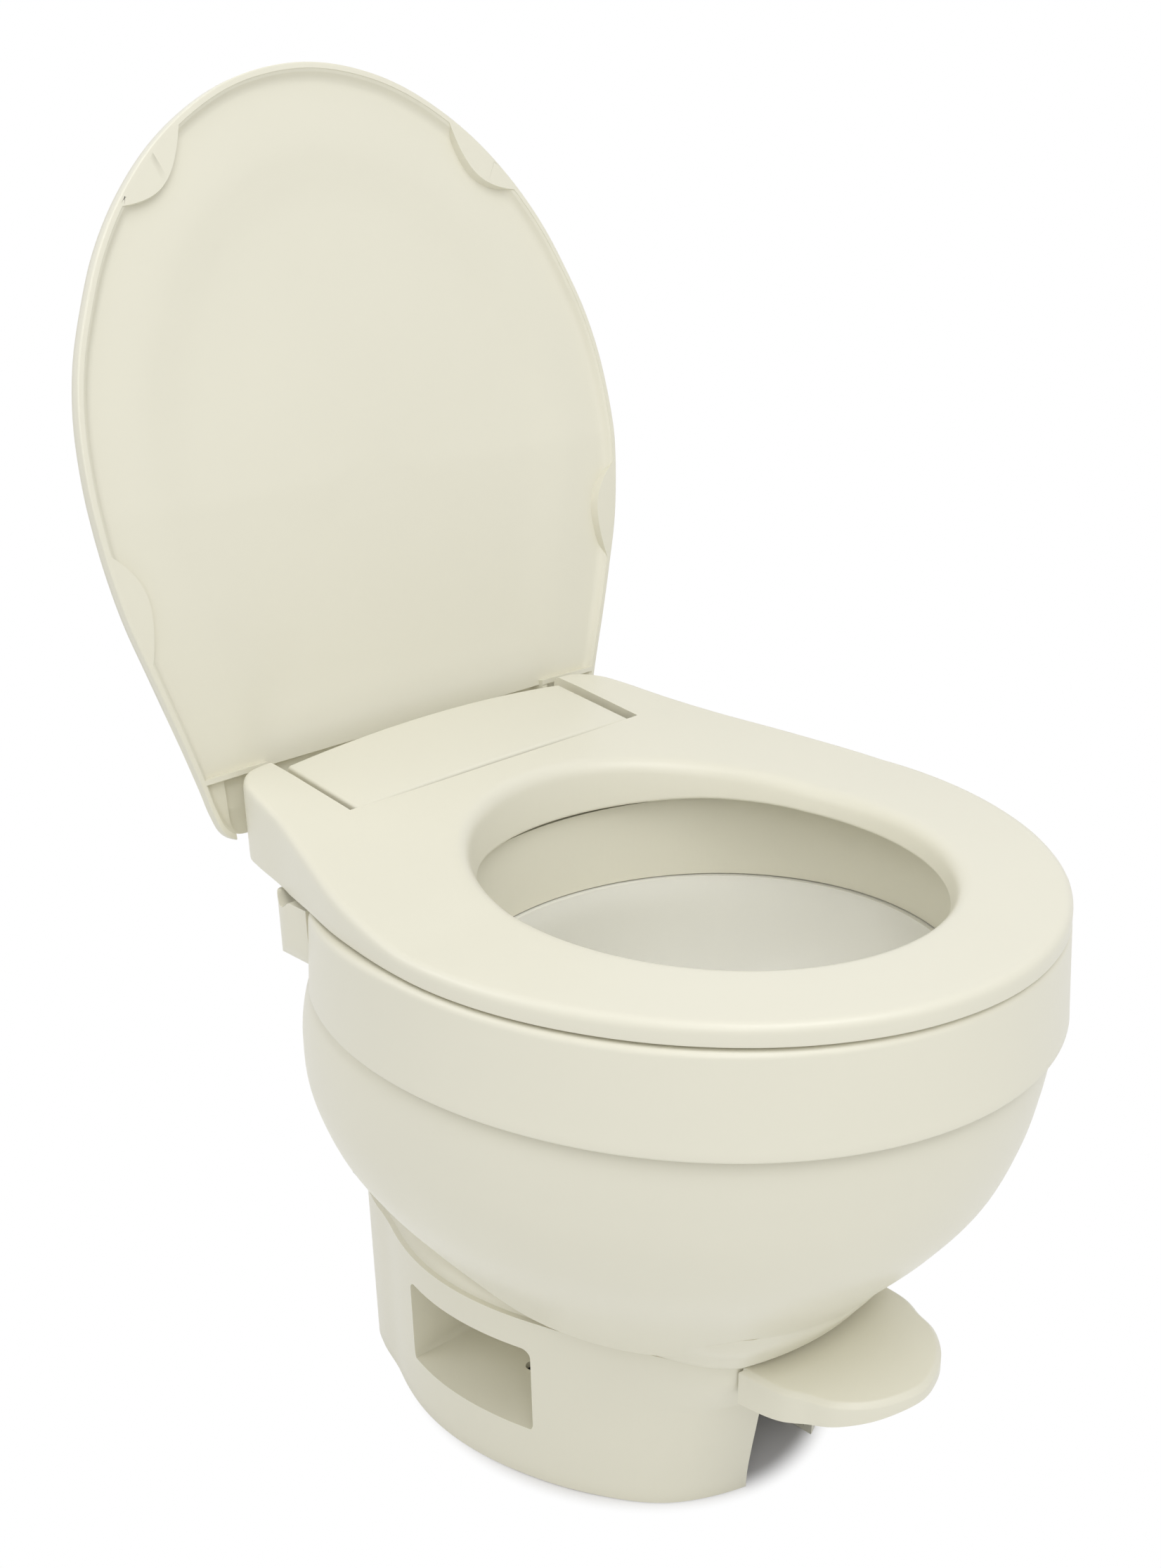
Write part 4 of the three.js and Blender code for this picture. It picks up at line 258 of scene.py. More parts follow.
RIB_TURNS = (24, 72, 100, 126)
RIB = 3
BUMPER_TURNS = (48, 113)
BUMPER_RADIUS = 7
BUMPER_HEIGHT = 3.8
STEM_RADIUS = 2.6
STEM_LENGTH = 5
SEAT_ROUNDS = [0.8, 6.5, 0, 0, 0, 8, 2.2, 1]  # rounding of each corner of the section
SEAT_HOLLOW_ROUNDS = [0, 5, 5, 0]
# Rise of the seat to its rear: share of the run, share of the rise
RAMP = [(0, 0), (0.108, 0.06), (0.324, 0.2), (0.62, 0.47), (0.81, 0.69), (1, 0.89), (1.16, 1.02)]
HOLE_TERMS = [1, -0.0078, 0.0695, -0.0039]  # cosine terms of the opening's radius
# Outlines as shares of the half width and of the front or rear reach
SEAT_EDGE = [
    (0, -1), (0.301, -0.953), (0.562, -0.827), (0.763, -0.648), (0.901, -0.441), (0.98, -0.223),
    (1, 0), (0.948, 0.28), (0.857, 0.537), (0.799, 0.701), (0.758, 0.864), (0.737, 0.925), (0.685, 0.98),
    (0.59, 1), (0, 1),
]

# Hinge cover and its webs
WEB_OUTER = 111.2
WEB_INNER = 107.3
COVER_HALF = 106.3
COVER_FRONT = 137.5
COVER_REAR = 203.3
COVER_FRONT_Z = 385.8
COVER_REAR_Z = 394.3
COVER_PROUD = 1.2
COVER_FRONT_CROWN = 2
COVER_REAR_CROWN = 6
COVER_SKIRT = 7
COVER_SIDE_TRIM = 0.4
COVER_FRONT_TRIM = 0.5
COVER_SOFT = 1.8
COVER_INNER_SOFT = 0.2
COVER_ROUNDS = [0, 2.4, 0, 0, 0, 2, 0]
COVER_HOLLOW_ROUNDS = [0, 1, 0, 0, 0, 1, 0]
COVER_SWEEP = math.hypot(HINGE_Y - COVER_FRONT, COVER_FRONT_Z + COVER_FRONT_CROWN - HINGE_Z) + RUN_GAP
COVER_REACH = math.hypot(COVER_REAR - HINGE_Y, COVER_REAR_Z + COVER_REAR_CROWN - HINGE_Z)

# Lid
LID_OPEN = 101.5
LID_HALF = 188.7
LID_FRONT = 225.4
LID_REAR = 189.5
LID_GAP = 3.5
LID_FRONT_DEPTH = 16
LID_REAR_DEPTH = 12.7
LID_RIM = 4
LID_RUN = 8
LID_STEP = 5.2
LID_DISH = 7
LID_OUTER_SOFT = 0.9
LID_INNER_SOFT = 0.8
LID_POCKET = 149
LID_POCKET_END = 0.72  # share of the half width at which a corner pocket ends
LID_CENTRAL = 177.5
# Step from the rim to the panel: share of the run, share of the drop
LID_STEP_CURVE = [(0.1, 0.24), (0.24, 0.5), (0.42, 0.76), (0.66, 0.93), (1, 1)]
# Panel and outer face: share of the outline, share of the dish or of the depth
LID_PANEL = [(0.9, 0.05), (0.8, 0.14), (0.72, 0.4), (0.62, 0.72), (0.45, 0.92), (0.2, 1)]
LID_SHELL = [(1, 0.42), (0.985, 0.7), (0.96, 0.86), (0.91, 0.93), (0.8, 0.96), (0.5, 0.99), (0.2, 1)]
LID_EDGE = [
    (0, -1), (0.144, -0.989), (0.294, -0.956), (0.443, -0.896), (0.589, -0.81), (0.719, -0.7),
    (0.817, -0.586), (0.888, -0.47), (0.946, -0.352), (0.982, -0.232), (0.998, -0.111), (1, 0),
    (0.985, 0.154), (0.959, 0.296), (0.919, 0.437), (0.877, 0.579), (0.834, 0.721), (0.806, 0.82),
    (0.785, 0.9), (0.757, 0.965), (0.703, 1), (0.55, 1), (0, 1),
]
PAD_TURNS = (38, 113)  # angles of the crescent pads on each side
PAD_SPAN = 9.2
PAD_WIDTH = 14
PAD_DRAFT = 4
PAD_STEPS = 28

# Rim band and its rear deck
BAND_HALF = 195
BAND_FRONT = 224.8
BAND_BOTTOM = 304.5
BAND_REAR = 133
REAR_BEND = 24
BAND_TERMS = [1, 0.0312, 0.0514, 0.0107]
BAND_FLARE = 3
BAND_ROUND = 4
BAND_SOFT = 1.6
SKIRT_HALF = 148.5
SKIRT_LENGTH = 140
SKIRT_BOTTOM = 301.3
OPENING_Y = -28
DECK_HALF = 158
DECK_REAR = 163
DECK_FRONT = 120
DECK_TOP = 348
DECK_ROUND = 9
DECK_FOOT_ROUND = 1.5  # the lower rounding is this much taller than wide
DECK_PLAN_ROUND = 25.2
DECK_END_ROUND = 20.16
SCOOP_DEPTH = 5
SCOOP_WIDTH = 18
SCOOP_BEND = 1.4
NOZZLE_Z = 336
NOZZLE_RADIUS = 6
SCREW_X = 30
SCREW_Y = 146
SCREW = 2.2

# Bowl shell
SHELL_TOP = 313
SHELL_BOTTOM = 118
SHELL_REAR = 158
SHELL_BELLY = 20
SHELL_QUARTER = 12
SHELL_WALL = 3.6
SHELL_SHIFT = 12
SHELL_FLANGE = 3.5
MOUTH_SHARE = 0.53
MOUTH_SHIFT = 13
# Shares of the height, of the band's outline, of the shift, and of the belly at the rear
SHELL = [
    (1, 0.965, 0.17, 0), (0.955, 0.967, 0.17, 0.3), (0.89, 0.983, 0.33, 0.65), (0.77, 0.983, 0.6, 0.95),
    (0.63, 0.966, 0.82, 1), (0.5, 0.925, 0.85, 0.95), (0.37, 0.855, 0.93, 0.8), (0.24, 0.765, 1, 0.55),
    (0.13, 0.682, 0.98, 0.3), (0.04, 0.61, 0.82, 0.1), (0, 0.56, 0.67, 0),
]

# Inner bowl
THROAT_Y = 52
THROAT = 34
FLANGE = 66
FLANGE_TOP = 178.8
BOWL_FLANGE_TOP = 183
SCREW_PITCH = 60
BOWL_HALF = 146
BOWL_LENGTH = 137
LEDGE_Z = 300.5
LEDGE = 12
BOWL_WALL = 3.5
# Shares of the height, of the half width, of the half length, and of the way back to the throat
BOWL = [
    (1, 1, 1, 0), (0.9, 0.95, 0.953, 0.07), (0.68, 0.84, 0.844, 0.28), (0.46, 0.655, 0.657, 0.57),
    (0.28, 0.433, 0.428, 0.8), (0.14, 0.161, 0.155, 0.95), (0.07, 0.038, 0.04, 1), (0, 0, 0, 1),
]

# Pedal
PIVOT_Y = -38
PIVOT_Z = 104.594
PEDAL_HALF = 58
PEDAL_INNER = 104
PEDAL_HOLLOW = 13
PEDAL_FRONT = 186
PEDAL_TOP = 112
PEDAL_CHAMFER = 3.5
PEDAL_INNER_CHAMFER = 0.3  # share of the chamfer along the inner edge
PEDAL_SKIRT = 24
PEDAL_TIP = 9
PEDAL_BEND = 1.4
SHARPEST = 0.6  # limits how far a sharp corner moves when an outline is set in
LEVER_HALF = 18
LEVER_TOP = 107.8
PAD_SCREW_Y = -140
PEDAL_PIN_LEFT = -64
PEDAL_PIN_RIGHT = 81
PEDAL_EDGE = [(1, 0), (0.965, 0.35), (0.87, 0.51), (0.78, 0.68), (0.56, 0.85), (0.3, 0.95), (0, 1)]
# Chamfer of the pad: share of the way in, share of the drop
CHAMFER = [(0, 1), (0.06, 0.82), (0.2, 0.62), (0.62, 0.2), (0.8, 0.07), (1, 0)]

# Pedestal base
BASE_TOP = 104
BASE_HALF = 120
BASE_FRONT = 92
BASE_REAR = 199
FOOT_WIDTH = 12
FOOT_HEIGHT = 4
SHOULDER_RISE = 22
SHOULDER_RUN = 44
BASE_EDGE = [
    (0, -1), (0.25, -0.946), (0.592, -0.685), (0.814, -0.25), (0.938, 0.085), (0.992, 0.251), (1, 0.392),
    (0.975, 0.513), (0.925, 0.623), (0.858, 0.729), (0.79, 0.854), (0.708, 0.94), (0.5, 0.99), (0, 1),
]
# Shares of the height and of the way out or in
NECK = [(0, 0), (0.12, 0.05), (0.6, 0.5), (1, 0.85)]
SHOULDER = [(0, 0), (0.3, 0.05), (0.52, 0.14), (0.68, 0.28), (0.82, 0.52), (1, 1)]
POCKET_INNER = 60
POCKET_FRONT = 8
POCKET_REAR = 109
POCKET_FLOOR = 35.5
POCKET_SLOPE = 2.5
POCKET_TOP = 92
POCKET_CORNER = 6
POCKET_WALL = 3
NOTCH_HALF = 30
BRIDGE_TOP = 82
OUTLET_NECK = 42
BOLT_X = 70
BOLT_RADIUS = 4.4
BEARING_HALF = 11
BEARING_RIGHT = 71
BEARING_LEFT = -43
SPRING_LEG = 17  # reach of the pedal spring's leg behind the pivot
SPRING_END = -36.8
LEG_FLOOR = PIVOT_Z - 13.4
SHAFT_Z = 138
VALVE_X = -66
VALVE_RADIUS = 11
VALVE_FRONT = 72
VALVE_REAR = 100
POST = ((-58.4, 2 * POCKET_WALL - POCKET_INNER), (76, 90), (POCKET_TOP, SHAFT_Z))  # carries the water valve
INLET_Z = 103
INLET_RADIUS = 6

# Neck between the base and the shell, shaped round the pad's inner edge
NECK_FRONT = 112
NECK_REACH = BASE_FRONT + (NECK_FRONT - BASE_FRONT) * NECK[-1][1]
PAD_ROOM = 1.6
NECK_FADE = 40
FACING = (0.1, 0.75)  # where the flare starts to face forwards, and over what share it grows
FLARE_TUCK = 6
FLARE_OVERLAP = 1.5
COLLAR_OVERLAP = 2
# Height, reach to the front, and share of the pad's inner edge in the outline
COLLAR = (
    (56, 98, 0), (70, 100, 0.12), (84, 104, 0.45), (94, 107, 0.82), (100, NECK_REACH, 0.97),
    (104, NECK_REACH, 1), (PEDAL_TOP + GAP, NECK_REACH, 1),
)
# Height above the pad, growth of the outline
FLARE = [(0, 0.8), (1.5, 3.2), (4, 7.2), (8, 11.5), (13, 15), (18, 18.5), (24, 23), (30, 26), (38, 27)]


# Meshes from rings of points or flat layers, and their joins and cuts
def solid(points, faces):
    mesh = bpy.data.meshes.new("solid")
    mesh.from_pydata([tuple(map(float, p)) for p in points], [], [tuple(map(int, f)) for f in faces])
    shape = bmesh.new()
    shape.from_mesh(mesh)
    bmesh.ops.remove_doubles(shape, verts=shape.verts, dist=MERGE)
    if shape.calc_volume(signed=True) < 0:
        bmesh.ops.reverse_faces(shape, faces=shape.faces)
    shape.to_mesh(mesh)
    shape.free()
    made = bpy.data.objects.new("solid", mesh)
    scene.collection.objects.link(made)
    return made


def skin(rings, closed=False):
    rings = np.asarray(rings, dtype=float)
    rows, count = rings.shape[:2]
    faces = []
    for i in range(rows if closed else rows - 1):
        a, b = i * count, ((i + 1) % rows) * count
        faces += [(a + j, b + j, b + (j + 1) % count, a + (j + 1) % count) for j in range(count)]
    points = list(rings.reshape(-1, 3))
    if not closed:
        for start, flip in ((0, True), ((rows - 1) * count, False)):
            points.append(rings[start // count].mean(axis=0))
            hub = len(points) - 1
            for j in range(count):
                here, ahead = start + j, start + (j + 1) % count
                faces.append((hub, here, ahead) if flip else (hub, ahead, here))
    return solid(points, faces)


def slab(layers):
    count = len(layers[0])
    points = [p for layer in layers for p in layer]
    faces = [tuple(range(count))[::-1], tuple(range((len(layers) - 1) * count, len(layers) * count))]
    for row in range(len(layers) - 1):
        a, b = row * count, (row + 1) * count
        faces += [(a + j, a + (j + 1) % count, b + (j + 1) % count, b + j) for j in range(count)]
    return solid(points, faces)


def combine(base, others, operation):
    for other in others:
        step = base.modifiers.new("step", "BOOLEAN")
        step.operation = operation
        step.solver = "MANIFOLD"
        step.object = other
    bpy.context.view_layer.update()
    graph = bpy.context.evaluated_depsgraph_get()
    mesh = bpy.data.meshes.new_from_object(base.evaluated_get(graph))
    base.modifiers.clear()
    base.data = mesh
    for other in others:
        bpy.data.objects.remove(other)
    return base


def join(base, *others):
    return combine(base, others, "UNION")


def cut(base, *others):
    return combine(base, others, "DIFFERENCE")


def meet(base, *others):
    return combine(base, others, "INTERSECT")


def copy_of(item):
    twin = bpy.data.objects.new("solid", item.data.copy())
    scene.collection.objects.link(twin)
    return twin


def place(axis, u, v, w):
    return {"x": (w, u, v), "y": (u, w, v), "z": (u, v, w)}[axis]


def arc(u, v, radius, start, end, steps):
    turns = np.linspace(start, end, steps + 1)
    return [(u + radius * math.cos(a), v + radius * math.sin(a)) for a in turns]


def plate(axis, outline, start, end):
    count = len(outline)
    points = [place(axis, u, v, w) for w in (start, end) for u, v in outline]
    faces = [tuple(range(count))[::-1], tuple(range(count, 2 * count))]
    faces += [(j, (j + 1) % count, (j + 1) % count + count, j + count) for j in range(count)]
    return solid(points, faces)


def block(xs, ys, zs):
    return plate("z", [(xs[0], ys[0]), (xs[1], ys[0]), (xs[1], ys[1]), (xs[0], ys[1])], *zs)


def bar(axis, u, v, radius, start, end, sides=BAR_SIDES):
    return plate(axis, arc(u, v, radius, 0, 2 * math.pi, sides)[:-1], start, end)


def hinge_bar(radius, start, end, sides=BAR_SIDES):
    return bar("x", HINGE_Y, HINGE_Z, radius, start, end, sides)


def span(side, inner, outer):
    return (inner, outer) if side > 0 else (-outer, -inner)


def around(middle, half):
    return (middle - half, middle + half)


def rounded_rectangle(us, vs, radius, steps=8):
    left, right, low, high = us[0] + radius, us[1] - radius, vs[0] + radius, vs[1] - radius
    corners = ((right, high), (left, high), (left, low), (right, low))
    made = []
    for k, (u, v) in enumerate(corners):
        made += arc(u, v, radius, k * math.pi / 2, (k + 1) * math.pi / 2, steps)
    return made


# Curves: a centripetal spline through the points
def smooth_curve(points, closed, steps):
    points = np.asarray(points, dtype=float)
    count = len(points)
    if closed:
        padded = np.vstack([points[-1:], points, points[:2]])
    else:
        padded = np.vstack([2 * points[:1] - points[1:2], points, 2 * points[-1:] - points[-2:-1]])
    made = []
    for i in range(count if closed else count - 1):
        p0, p1, p2, p3 = padded[i:i + 4]
        d0, d1, d2 = (max(np.linalg.norm(b - a), TINY) ** 0.5 for a, b in ((p0, p1), (p1, p2), (p2, p3)))
        start = ((p1 - p0) / d0 - (p2 - p0) / (d0 + d1) + (p2 - p1) / d1) * d1
        end = ((p2 - p1) / d1 - (p3 - p1) / (d1 + d2) + (p3 - p2) / d2) * d1
        square = 3 * (p2 - p1) - 2 * start - end
        cube = 2 * (p1 - p2) + start + end
        for k in range(steps):
            t = k / steps
            made.append(p1 + start * t + square * t ** 2 + cube * t ** 3)
    if not closed:
        made.append(points[-1])
    return np.array(made)


def outline_from(shares, half, front, rear):
    right = [(a * half, b * (front if b < 0 else rear)) for a, b in shares]
    left = [(-x, y) for x, y in right[-2:0:-1]]
    return smooth_curve(right + left, True, 16)


def full_turn(count):
    return np.linspace(0, 2 * math.pi, count, endpoint=False)


# Gives the outline's distance from the centre at any angle from the front
def radius_reader(outline, centre):
    turns = np.arctan2(outline[:, 0], centre - outline[:, 1])
    radii = np.hypot(outline[:, 0], outline[:, 1] - centre)
    order = np.argsort(turns)
    return lambda at: np.interp(at, turns[order], radii[order], period=2 * math.pi)


def cosine_share(shares, turn):
    return sum(share * np.cos(k * turn) for k, share in enumerate(shares))


# Rounds the corners of sections: points is (..., corners, 2) and sizes has a length for each corner
def soften(points, sizes, steps=5):
    points = np.asarray(points, dtype=float)
    count = points.shape[-2]
    made = []
    for k, size in enumerate(sizes):
        here = points[..., k, :]
        if size <= 0:
            made.append(here)
            continue
        reach = []
        for other in (points[..., k - 1, :], points[..., (k + 1) % count, :]):
            way = other - here
            length = np.maximum(np.linalg.norm(way, axis=-1, keepdims=True), TINY)
            reach.append(here + way / length * np.minimum(size, length * MOST_ROUND))
        for t in np.linspace(0, 1, steps + 1):
            made.append(reach[0] * (1 - t) ** 2 + 2 * here * t * (1 - t) + reach[1] * t ** 2)
    return np.stack(made, axis=-2)


def ring_points(centre, radii, turn):
    return radii * np.sin(turn), centre - radii * np.cos(turn)


# Seat
def hole_outline():
    half, front, rear = SEAT_HALF - RING_SIDE, SEAT_FRONT - RING_FRONT, NOTCH_FRONT - RING_REAR
    side, ahead, behind = (cosine_share(HOLE_TERMS, a) for a in (math.pi / 2, 0, math.pi))
    length = (front + rear) / (ahead + behind)
    centre = length * ahead - front
    turns = full_turn(HOLE_POINTS)
    share = cosine_share(HOLE_TERMS, turns)
    x, y = half / side * share * np.sin(turns), centre - length * share * np.cos(turns)
    return np.stack([x, y], -1), centre


HOLE, RING_Y = hole_outline()
hole_at = radius_reader(HOLE, RING_Y)
seat_edge_at = radius_reader(outline_from(SEAT_EDGE, SEAT_HALF, SEAT_FRONT, SEAT_REAR), RING_Y)
lid_edge_at = radius_reader(outline_from(LID_EDGE, LID_HALF, LID_FRONT, LID_REAR), RING_Y)
RAMP_LINE = smooth_curve(RAMP, False, 8)


def seat_turns():
    ends = (0, *FINE_TURNS, 180)
    half = np.concatenate([np.arange(ends[k], ends[k + 1], step) for k, step in enumerate(FINE_STEPS)])
    return np.radians(np.concatenate([half, [180.0], -half[:0:-1]]))


def seat_top(y):
    return SEAT_Z + RAMP_RISE * np.interp(np.maximum(0, y) / RAMP_RUN, RAMP_LINE[:, 0], RAMP_LINE[:, 1])


def seat_bottom(y):
    return SEAT_Z - EDGE_DEPTH - EAR_DROP * np.clip(y / EAR_RUN, 0, 1) ** EAR_BEND


def rim_top(y):
    return seat_bottom(y) - RIM_GAP


# The lip hangs inside the rim at the front and ends level with the seat's edge at the rear
def lip_bottom(y):
    return seat_bottom(y) - LIP_BELOW * (1 - np.clip(y / LIP_RUN, 0, 1))


def seat_rings(corners, sizes, steps):
    turns = seat_turns()
    edges = {"outer": seat_edge_at(turns), "inner": hole_at(turns)}
    sections = []
    for anchor, shift, face, lift in corners:
        radii = edges[anchor] + shift
        y = ring_points(RING_Y, radii, turns)[1]
        sections.append(np.stack([radii, face(y) + lift], -1))
    flat = soften(np.stack(sections, -2), sizes, steps)
    x, y = ring_points(RING_Y, flat[..., 0], turns[:, None])
    return np.stack([x, y, flat[..., 1]], -1)


def seat_blank():
    corners = [("outer", 0, seat_bottom, 0), ("outer", 0, seat_top, 0)]
    corners += [("outer", -EDGE_ROUND - EDGE_RUN * share, seat_top, 0) for share in (0.3, 1)]
    corners += [("inner", OPENING_RUN, seat_top, 0), ("inner", OPENING_EDGE, seat_top, 0)]
    corners += [("inner", -LIP_IN, lip_bottom, 0), ("inner", LIP_IN / 2, lip_bottom, 0)]
    return skin(seat_rings(corners, SEAT_ROUNDS, 7), True)


def seat_hollow():
    corners = [("outer", -WALL, seat_bottom, -OVER - LIP_DROP), ("outer", -WALL, seat_top, -WALL)]
    corners += [("inner", WALL / 2, seat_top, -WALL), ("inner", WALL / 2, seat_bottom, -OVER - LIP_DROP)]
    return skin(seat_rings(corners, SEAT_HOLLOW_ROUNDS, 3), True)


def seat_rib(turn, side, high):
    at = math.radians(turn)
    outer, inner = seat_edge_at(at), hole_at(at)
    low = seat_bottom(RING_Y - outer * math.cos(at)) + RIB
    rib = block(around(0, RIB / 2), (-outer, -inner), (low, high))
    rib.data.transform(Matrix.Translation((0, RING_Y, 0)) @ Matrix.Rotation(at * side, 4, "Z"))
    return rib


# Material kept in the seat's hollow on one side, and the bores through it
def seat_side(side, front, low, high):
    bush = span(side, EAR_INNER, EAR_INNER + BUSH_LENGTH + WALL)
    bush_bore = span(side, EAR_INNER - OVER, EAR_INNER + BUSH_LENGTH + GAP)
    kept = [
        block(span(side, EAR_INNER - OVER, EAR_INNER + WALL), (front - WALL, SEAT_REAR), (low, high)),
        block(span(side, EAR_INNER, SEAT_HALF), (front - WALL, front), (low, high)),
        hinge_bar(HINGE_EYE + WALL / 2, *bush),
    ]
    kept += [seat_rib(turn, side, high) for turn in RIB_TURNS]
    bores = [
        hinge_bar(BUSH_RADIUS + GAP, *bush_bore),
        hinge_bar(PIN + GAP, *span(side, EAR_INNER - OVER, PIN_OUTER + OVER)),
    ]
    for turn in BUMPER_TURNS:
        at = math.radians(turn)
        x, y = ring_points(RING_Y, (seat_edge_at(at) + hole_at(at)) / 2, at * side)
        foot = rim_top(y) + BUMPER_HEIGHT
        kept.append(bar("z", x, y, BUMPER_RADIUS + RIB, foot + 2 * GAP, high, SMALL_SIDES))
        bores.append(bar("z", x, y, STEM_RADIUS + GAP, foot, foot + STEM_LENGTH + 2 * GAP, SMALL_SIDES))
    return kept, bores


def make_seat():
    low, high = SEAT_Z - LIP_DROP - 2 * EAR_DROP, seat_top(SEAT_REAR)
    front = HINGE_Y - COVER_SWEEP
    kept = [block(around(0, EAR_INNER + WALL), (front - WALL, NOTCH_FRONT + OVER), (low, high))]
    bores = []
    for side in (-1, 1):
        more_kept, more_bores = seat_side(side, front, low, high)
        kept += more_kept
        bores += more_bores
    notch = rounded_rectangle(around(0, EAR_INNER), (NOTCH_FRONT, 2 * SEAT_REAR), WALL)
    sweep = hinge_bar(COVER_SWEEP, -EAR_INNER, EAR_INNER, SWEEP_SIDES)
    behind = block(around(0, SEAT_HALF), (HINGE_Y, SEAT_REAR + WALL), (low, high + WALL))
    behind = cut(behind, hinge_bar(EAR_SWEEP, *around(0, SEAT_HALF + 1), SWEEP_SIDES))
    hollow = cut(seat_hollow(), *kept)
    return cut(seat_blank(), hollow, plate("z", notch, low, 2 * high), sweep, behind, *bores)


# Lid, drawn closed
def lid_rim(y):
    return seat_top(y) + LID_GAP


def lid_depth(y):
    return LID_FRONT_DEPTH + (LID_REAR_DEPTH - LID_FRONT_DEPTH) * np.clip(y / HINGE_Y, 0, 1)


def lid_ring(share, inset, lift, rise=0):
    turns = seat_turns()
    x, y = ring_points(RING_Y, lid_edge_at(turns) * share - inset, turns)
    return np.stack([x, y, lid_rim(y) + lift + lid_depth(y) * rise], -1)


def lid_blank():
    soft = LID_OUTER_SOFT
    rings = [lid_ring(1, soft, 0)]
    rings += [lid_ring(1, soft * (1 - math.sin(turn)), soft * (1 - math.cos(turn)))
              for turn in np.linspace(0.3, math.pi / 2, 4)]
    rings += [lid_ring(share, 0, 0, rise) for share, rise in smooth_curve(LID_SHELL, False, 5)]
    return skin(rings)


def lid_hollow():
    soft = LID_INNER_SOFT
    rings = [lid_ring(1, LID_RIM - soft, -OVER)]
    rings += [lid_ring(1, LID_RIM - soft * math.cos(turn), soft * math.sin(turn))
              for turn in np.linspace(0, 1.2, 4)]
    rings += [lid_ring(1, LID_RIM + LID_RUN * run, LID_STEP * drop)
              for run, drop in smooth_curve(LID_STEP_CURVE, False, 3)]
    rings += [lid_ring(share, 0, LID_STEP + LID_DISH * dish)
              for share, dish in smooth_curve(LID_PANEL, False, 6)]
    return skin(rings)


def lid_pad(turn, side):
    layers = []
    for widen, lift in ((0, 0), (PAD_DRAFT, LID_STEP + LID_DISH)):
        near, far = [], []
        for i in range(PAD_STEPS + 1):
            share = 2 * i / PAD_STEPS - 1
            at = math.radians(turn + PAD_SPAN * share)
            outer = lid_edge_at(at) - LID_RIM / 2
            near.append(ring_points(RING_Y, outer, at * side))
            inner = outer - GAP - (PAD_WIDTH + widen) * (1 - share * share)
            far.append(ring_points(RING_Y, inner, at * side))
        layers.append([(x, y, lid_rim(y) + lift) for x, y in near + far[::-1]])
    return slab(layers)


# Walls of the corner pockets, and the pads
def lid_inside(start, high):
    floor = lid_rim(LID_POCKET)
    inside = []
    for side in (-1, 1):
        inside.append(block(span(side, WEB_INNER, LID_HALF), (LID_POCKET, start), (floor, high)))
        inside.append(block(span(side, WEB_INNER, WEB_OUTER), (LID_POCKET, LID_REAR), (floor + SKIN, high)))
        inside += [lid_pad(turn, side) for turn in PAD_TURNS]
    return inside


# Room for the hinge cover and for the seat's ears, under the lid's outer face
def lid_room(start):
    far = lid_rim(LID_REAR) + 2 * LID_REAR_DEPTH
    cutters = [
        block(around(0, WEB_INNER), (LID_CENTRAL, LID_REAR + OVER), (HINGE_Z, far)),
        block(around(0, WEB_INNER), (start, LID_REAR + OVER), (HINGE_Z, HINGE_Z + COVER_REACH + RUN_GAP)),
    ]
    for side in (-1, 1):
        room = lid_blank()
        room.data.transform(Matrix.Translation((0, 0, -SKIN)))
        room = join(room, hinge_bar(EAR_SWEEP + GAP, -LID_HALF, LID_HALF, ROOM_SIDES))
        width = span(side, WEB_OUTER, LID_HALF * LID_POCKET_END)
        cutters.append(meet(block(width, (start, LID_REAR + OVER), (HINGE_Z, far)), room))
    return cutters


def make_lid():
    blank = lid_blank()
    start, high = LID_POCKET + SKIN, lid_rim(LID_REAR) + LID_REAR_DEPTH
    added = [meet(piece, copy_of(blank)) for piece in lid_inside(start, high)]
    bare = cut(join(cut(blank, lid_hollow()), *added), *lid_room(start))
    lugs = []
    for side in (-1, 1):
        width = span(side, WEB_INNER, WEB_OUTER)
        lug_top = lid_rim(LID_REAR) + SKIN
        lugs.append(block(width, (HINGE_Y - HINGE_EYE, LID_REAR - GAP), (HINGE_Z, lug_top)))
        lugs.append(hinge_bar(HINGE_EYE, *width))
    lid = cut(join(bare, *lugs), hinge_bar(PIN + GAP, *around(0, WEB_OUTER + OVER)))
    swing = Matrix.Translation((0, HINGE_Y, HINGE_Z)) @ Matrix.Rotation(math.radians(-LID_OPEN), 4, "X")
    lid.data.transform(swing @ Matrix.Translation((0, -HINGE_Y, -HINGE_Z)))
    return lid


# Hinge cover
def cover_top(x, y):
    share = (y - COVER_FRONT) / (COVER_REAR - COVER_FRONT)
    crown = COVER_FRONT_CROWN + (COVER_REAR_CROWN - COVER_FRONT_CROWN) * share
    return COVER_FRONT_Z + (COVER_REAR_Z - COVER_FRONT_Z) * share + crown * (1 - (x / COVER_HALF) ** 2)


def cover_slab(half, front, rear, drop, bottom, rounds, soft):
    edge = soft / half
    stations = [-1] + [-1 + edge * (1 - math.cos(turn)) for turn in np.linspace(0.35, math.pi / 2, 5)]
    stations += list(np.linspace(-1 + edge, 1 - edge, 41)[1:-1])
    stations += [-s for s in stations[5::-1]]
    rings = []
    for x in (half * s for s in stations):
        sink = max(0.0, (abs(x) - half + soft) / soft)
        lower = drop + soft * (1 - math.sqrt(max(0.0, 1 - sink ** 2)))
        depths = [(front, bottom)] + [(y, lower) for y in np.linspace(front, rear, 5)] + [(rear, bottom)]
        corners = [(y, cover_top(x, y) - depth) for y, depth in depths]
        rings.append([(x, y, z) for y, z in soften(corners, rounds)])
    return skin(rings)


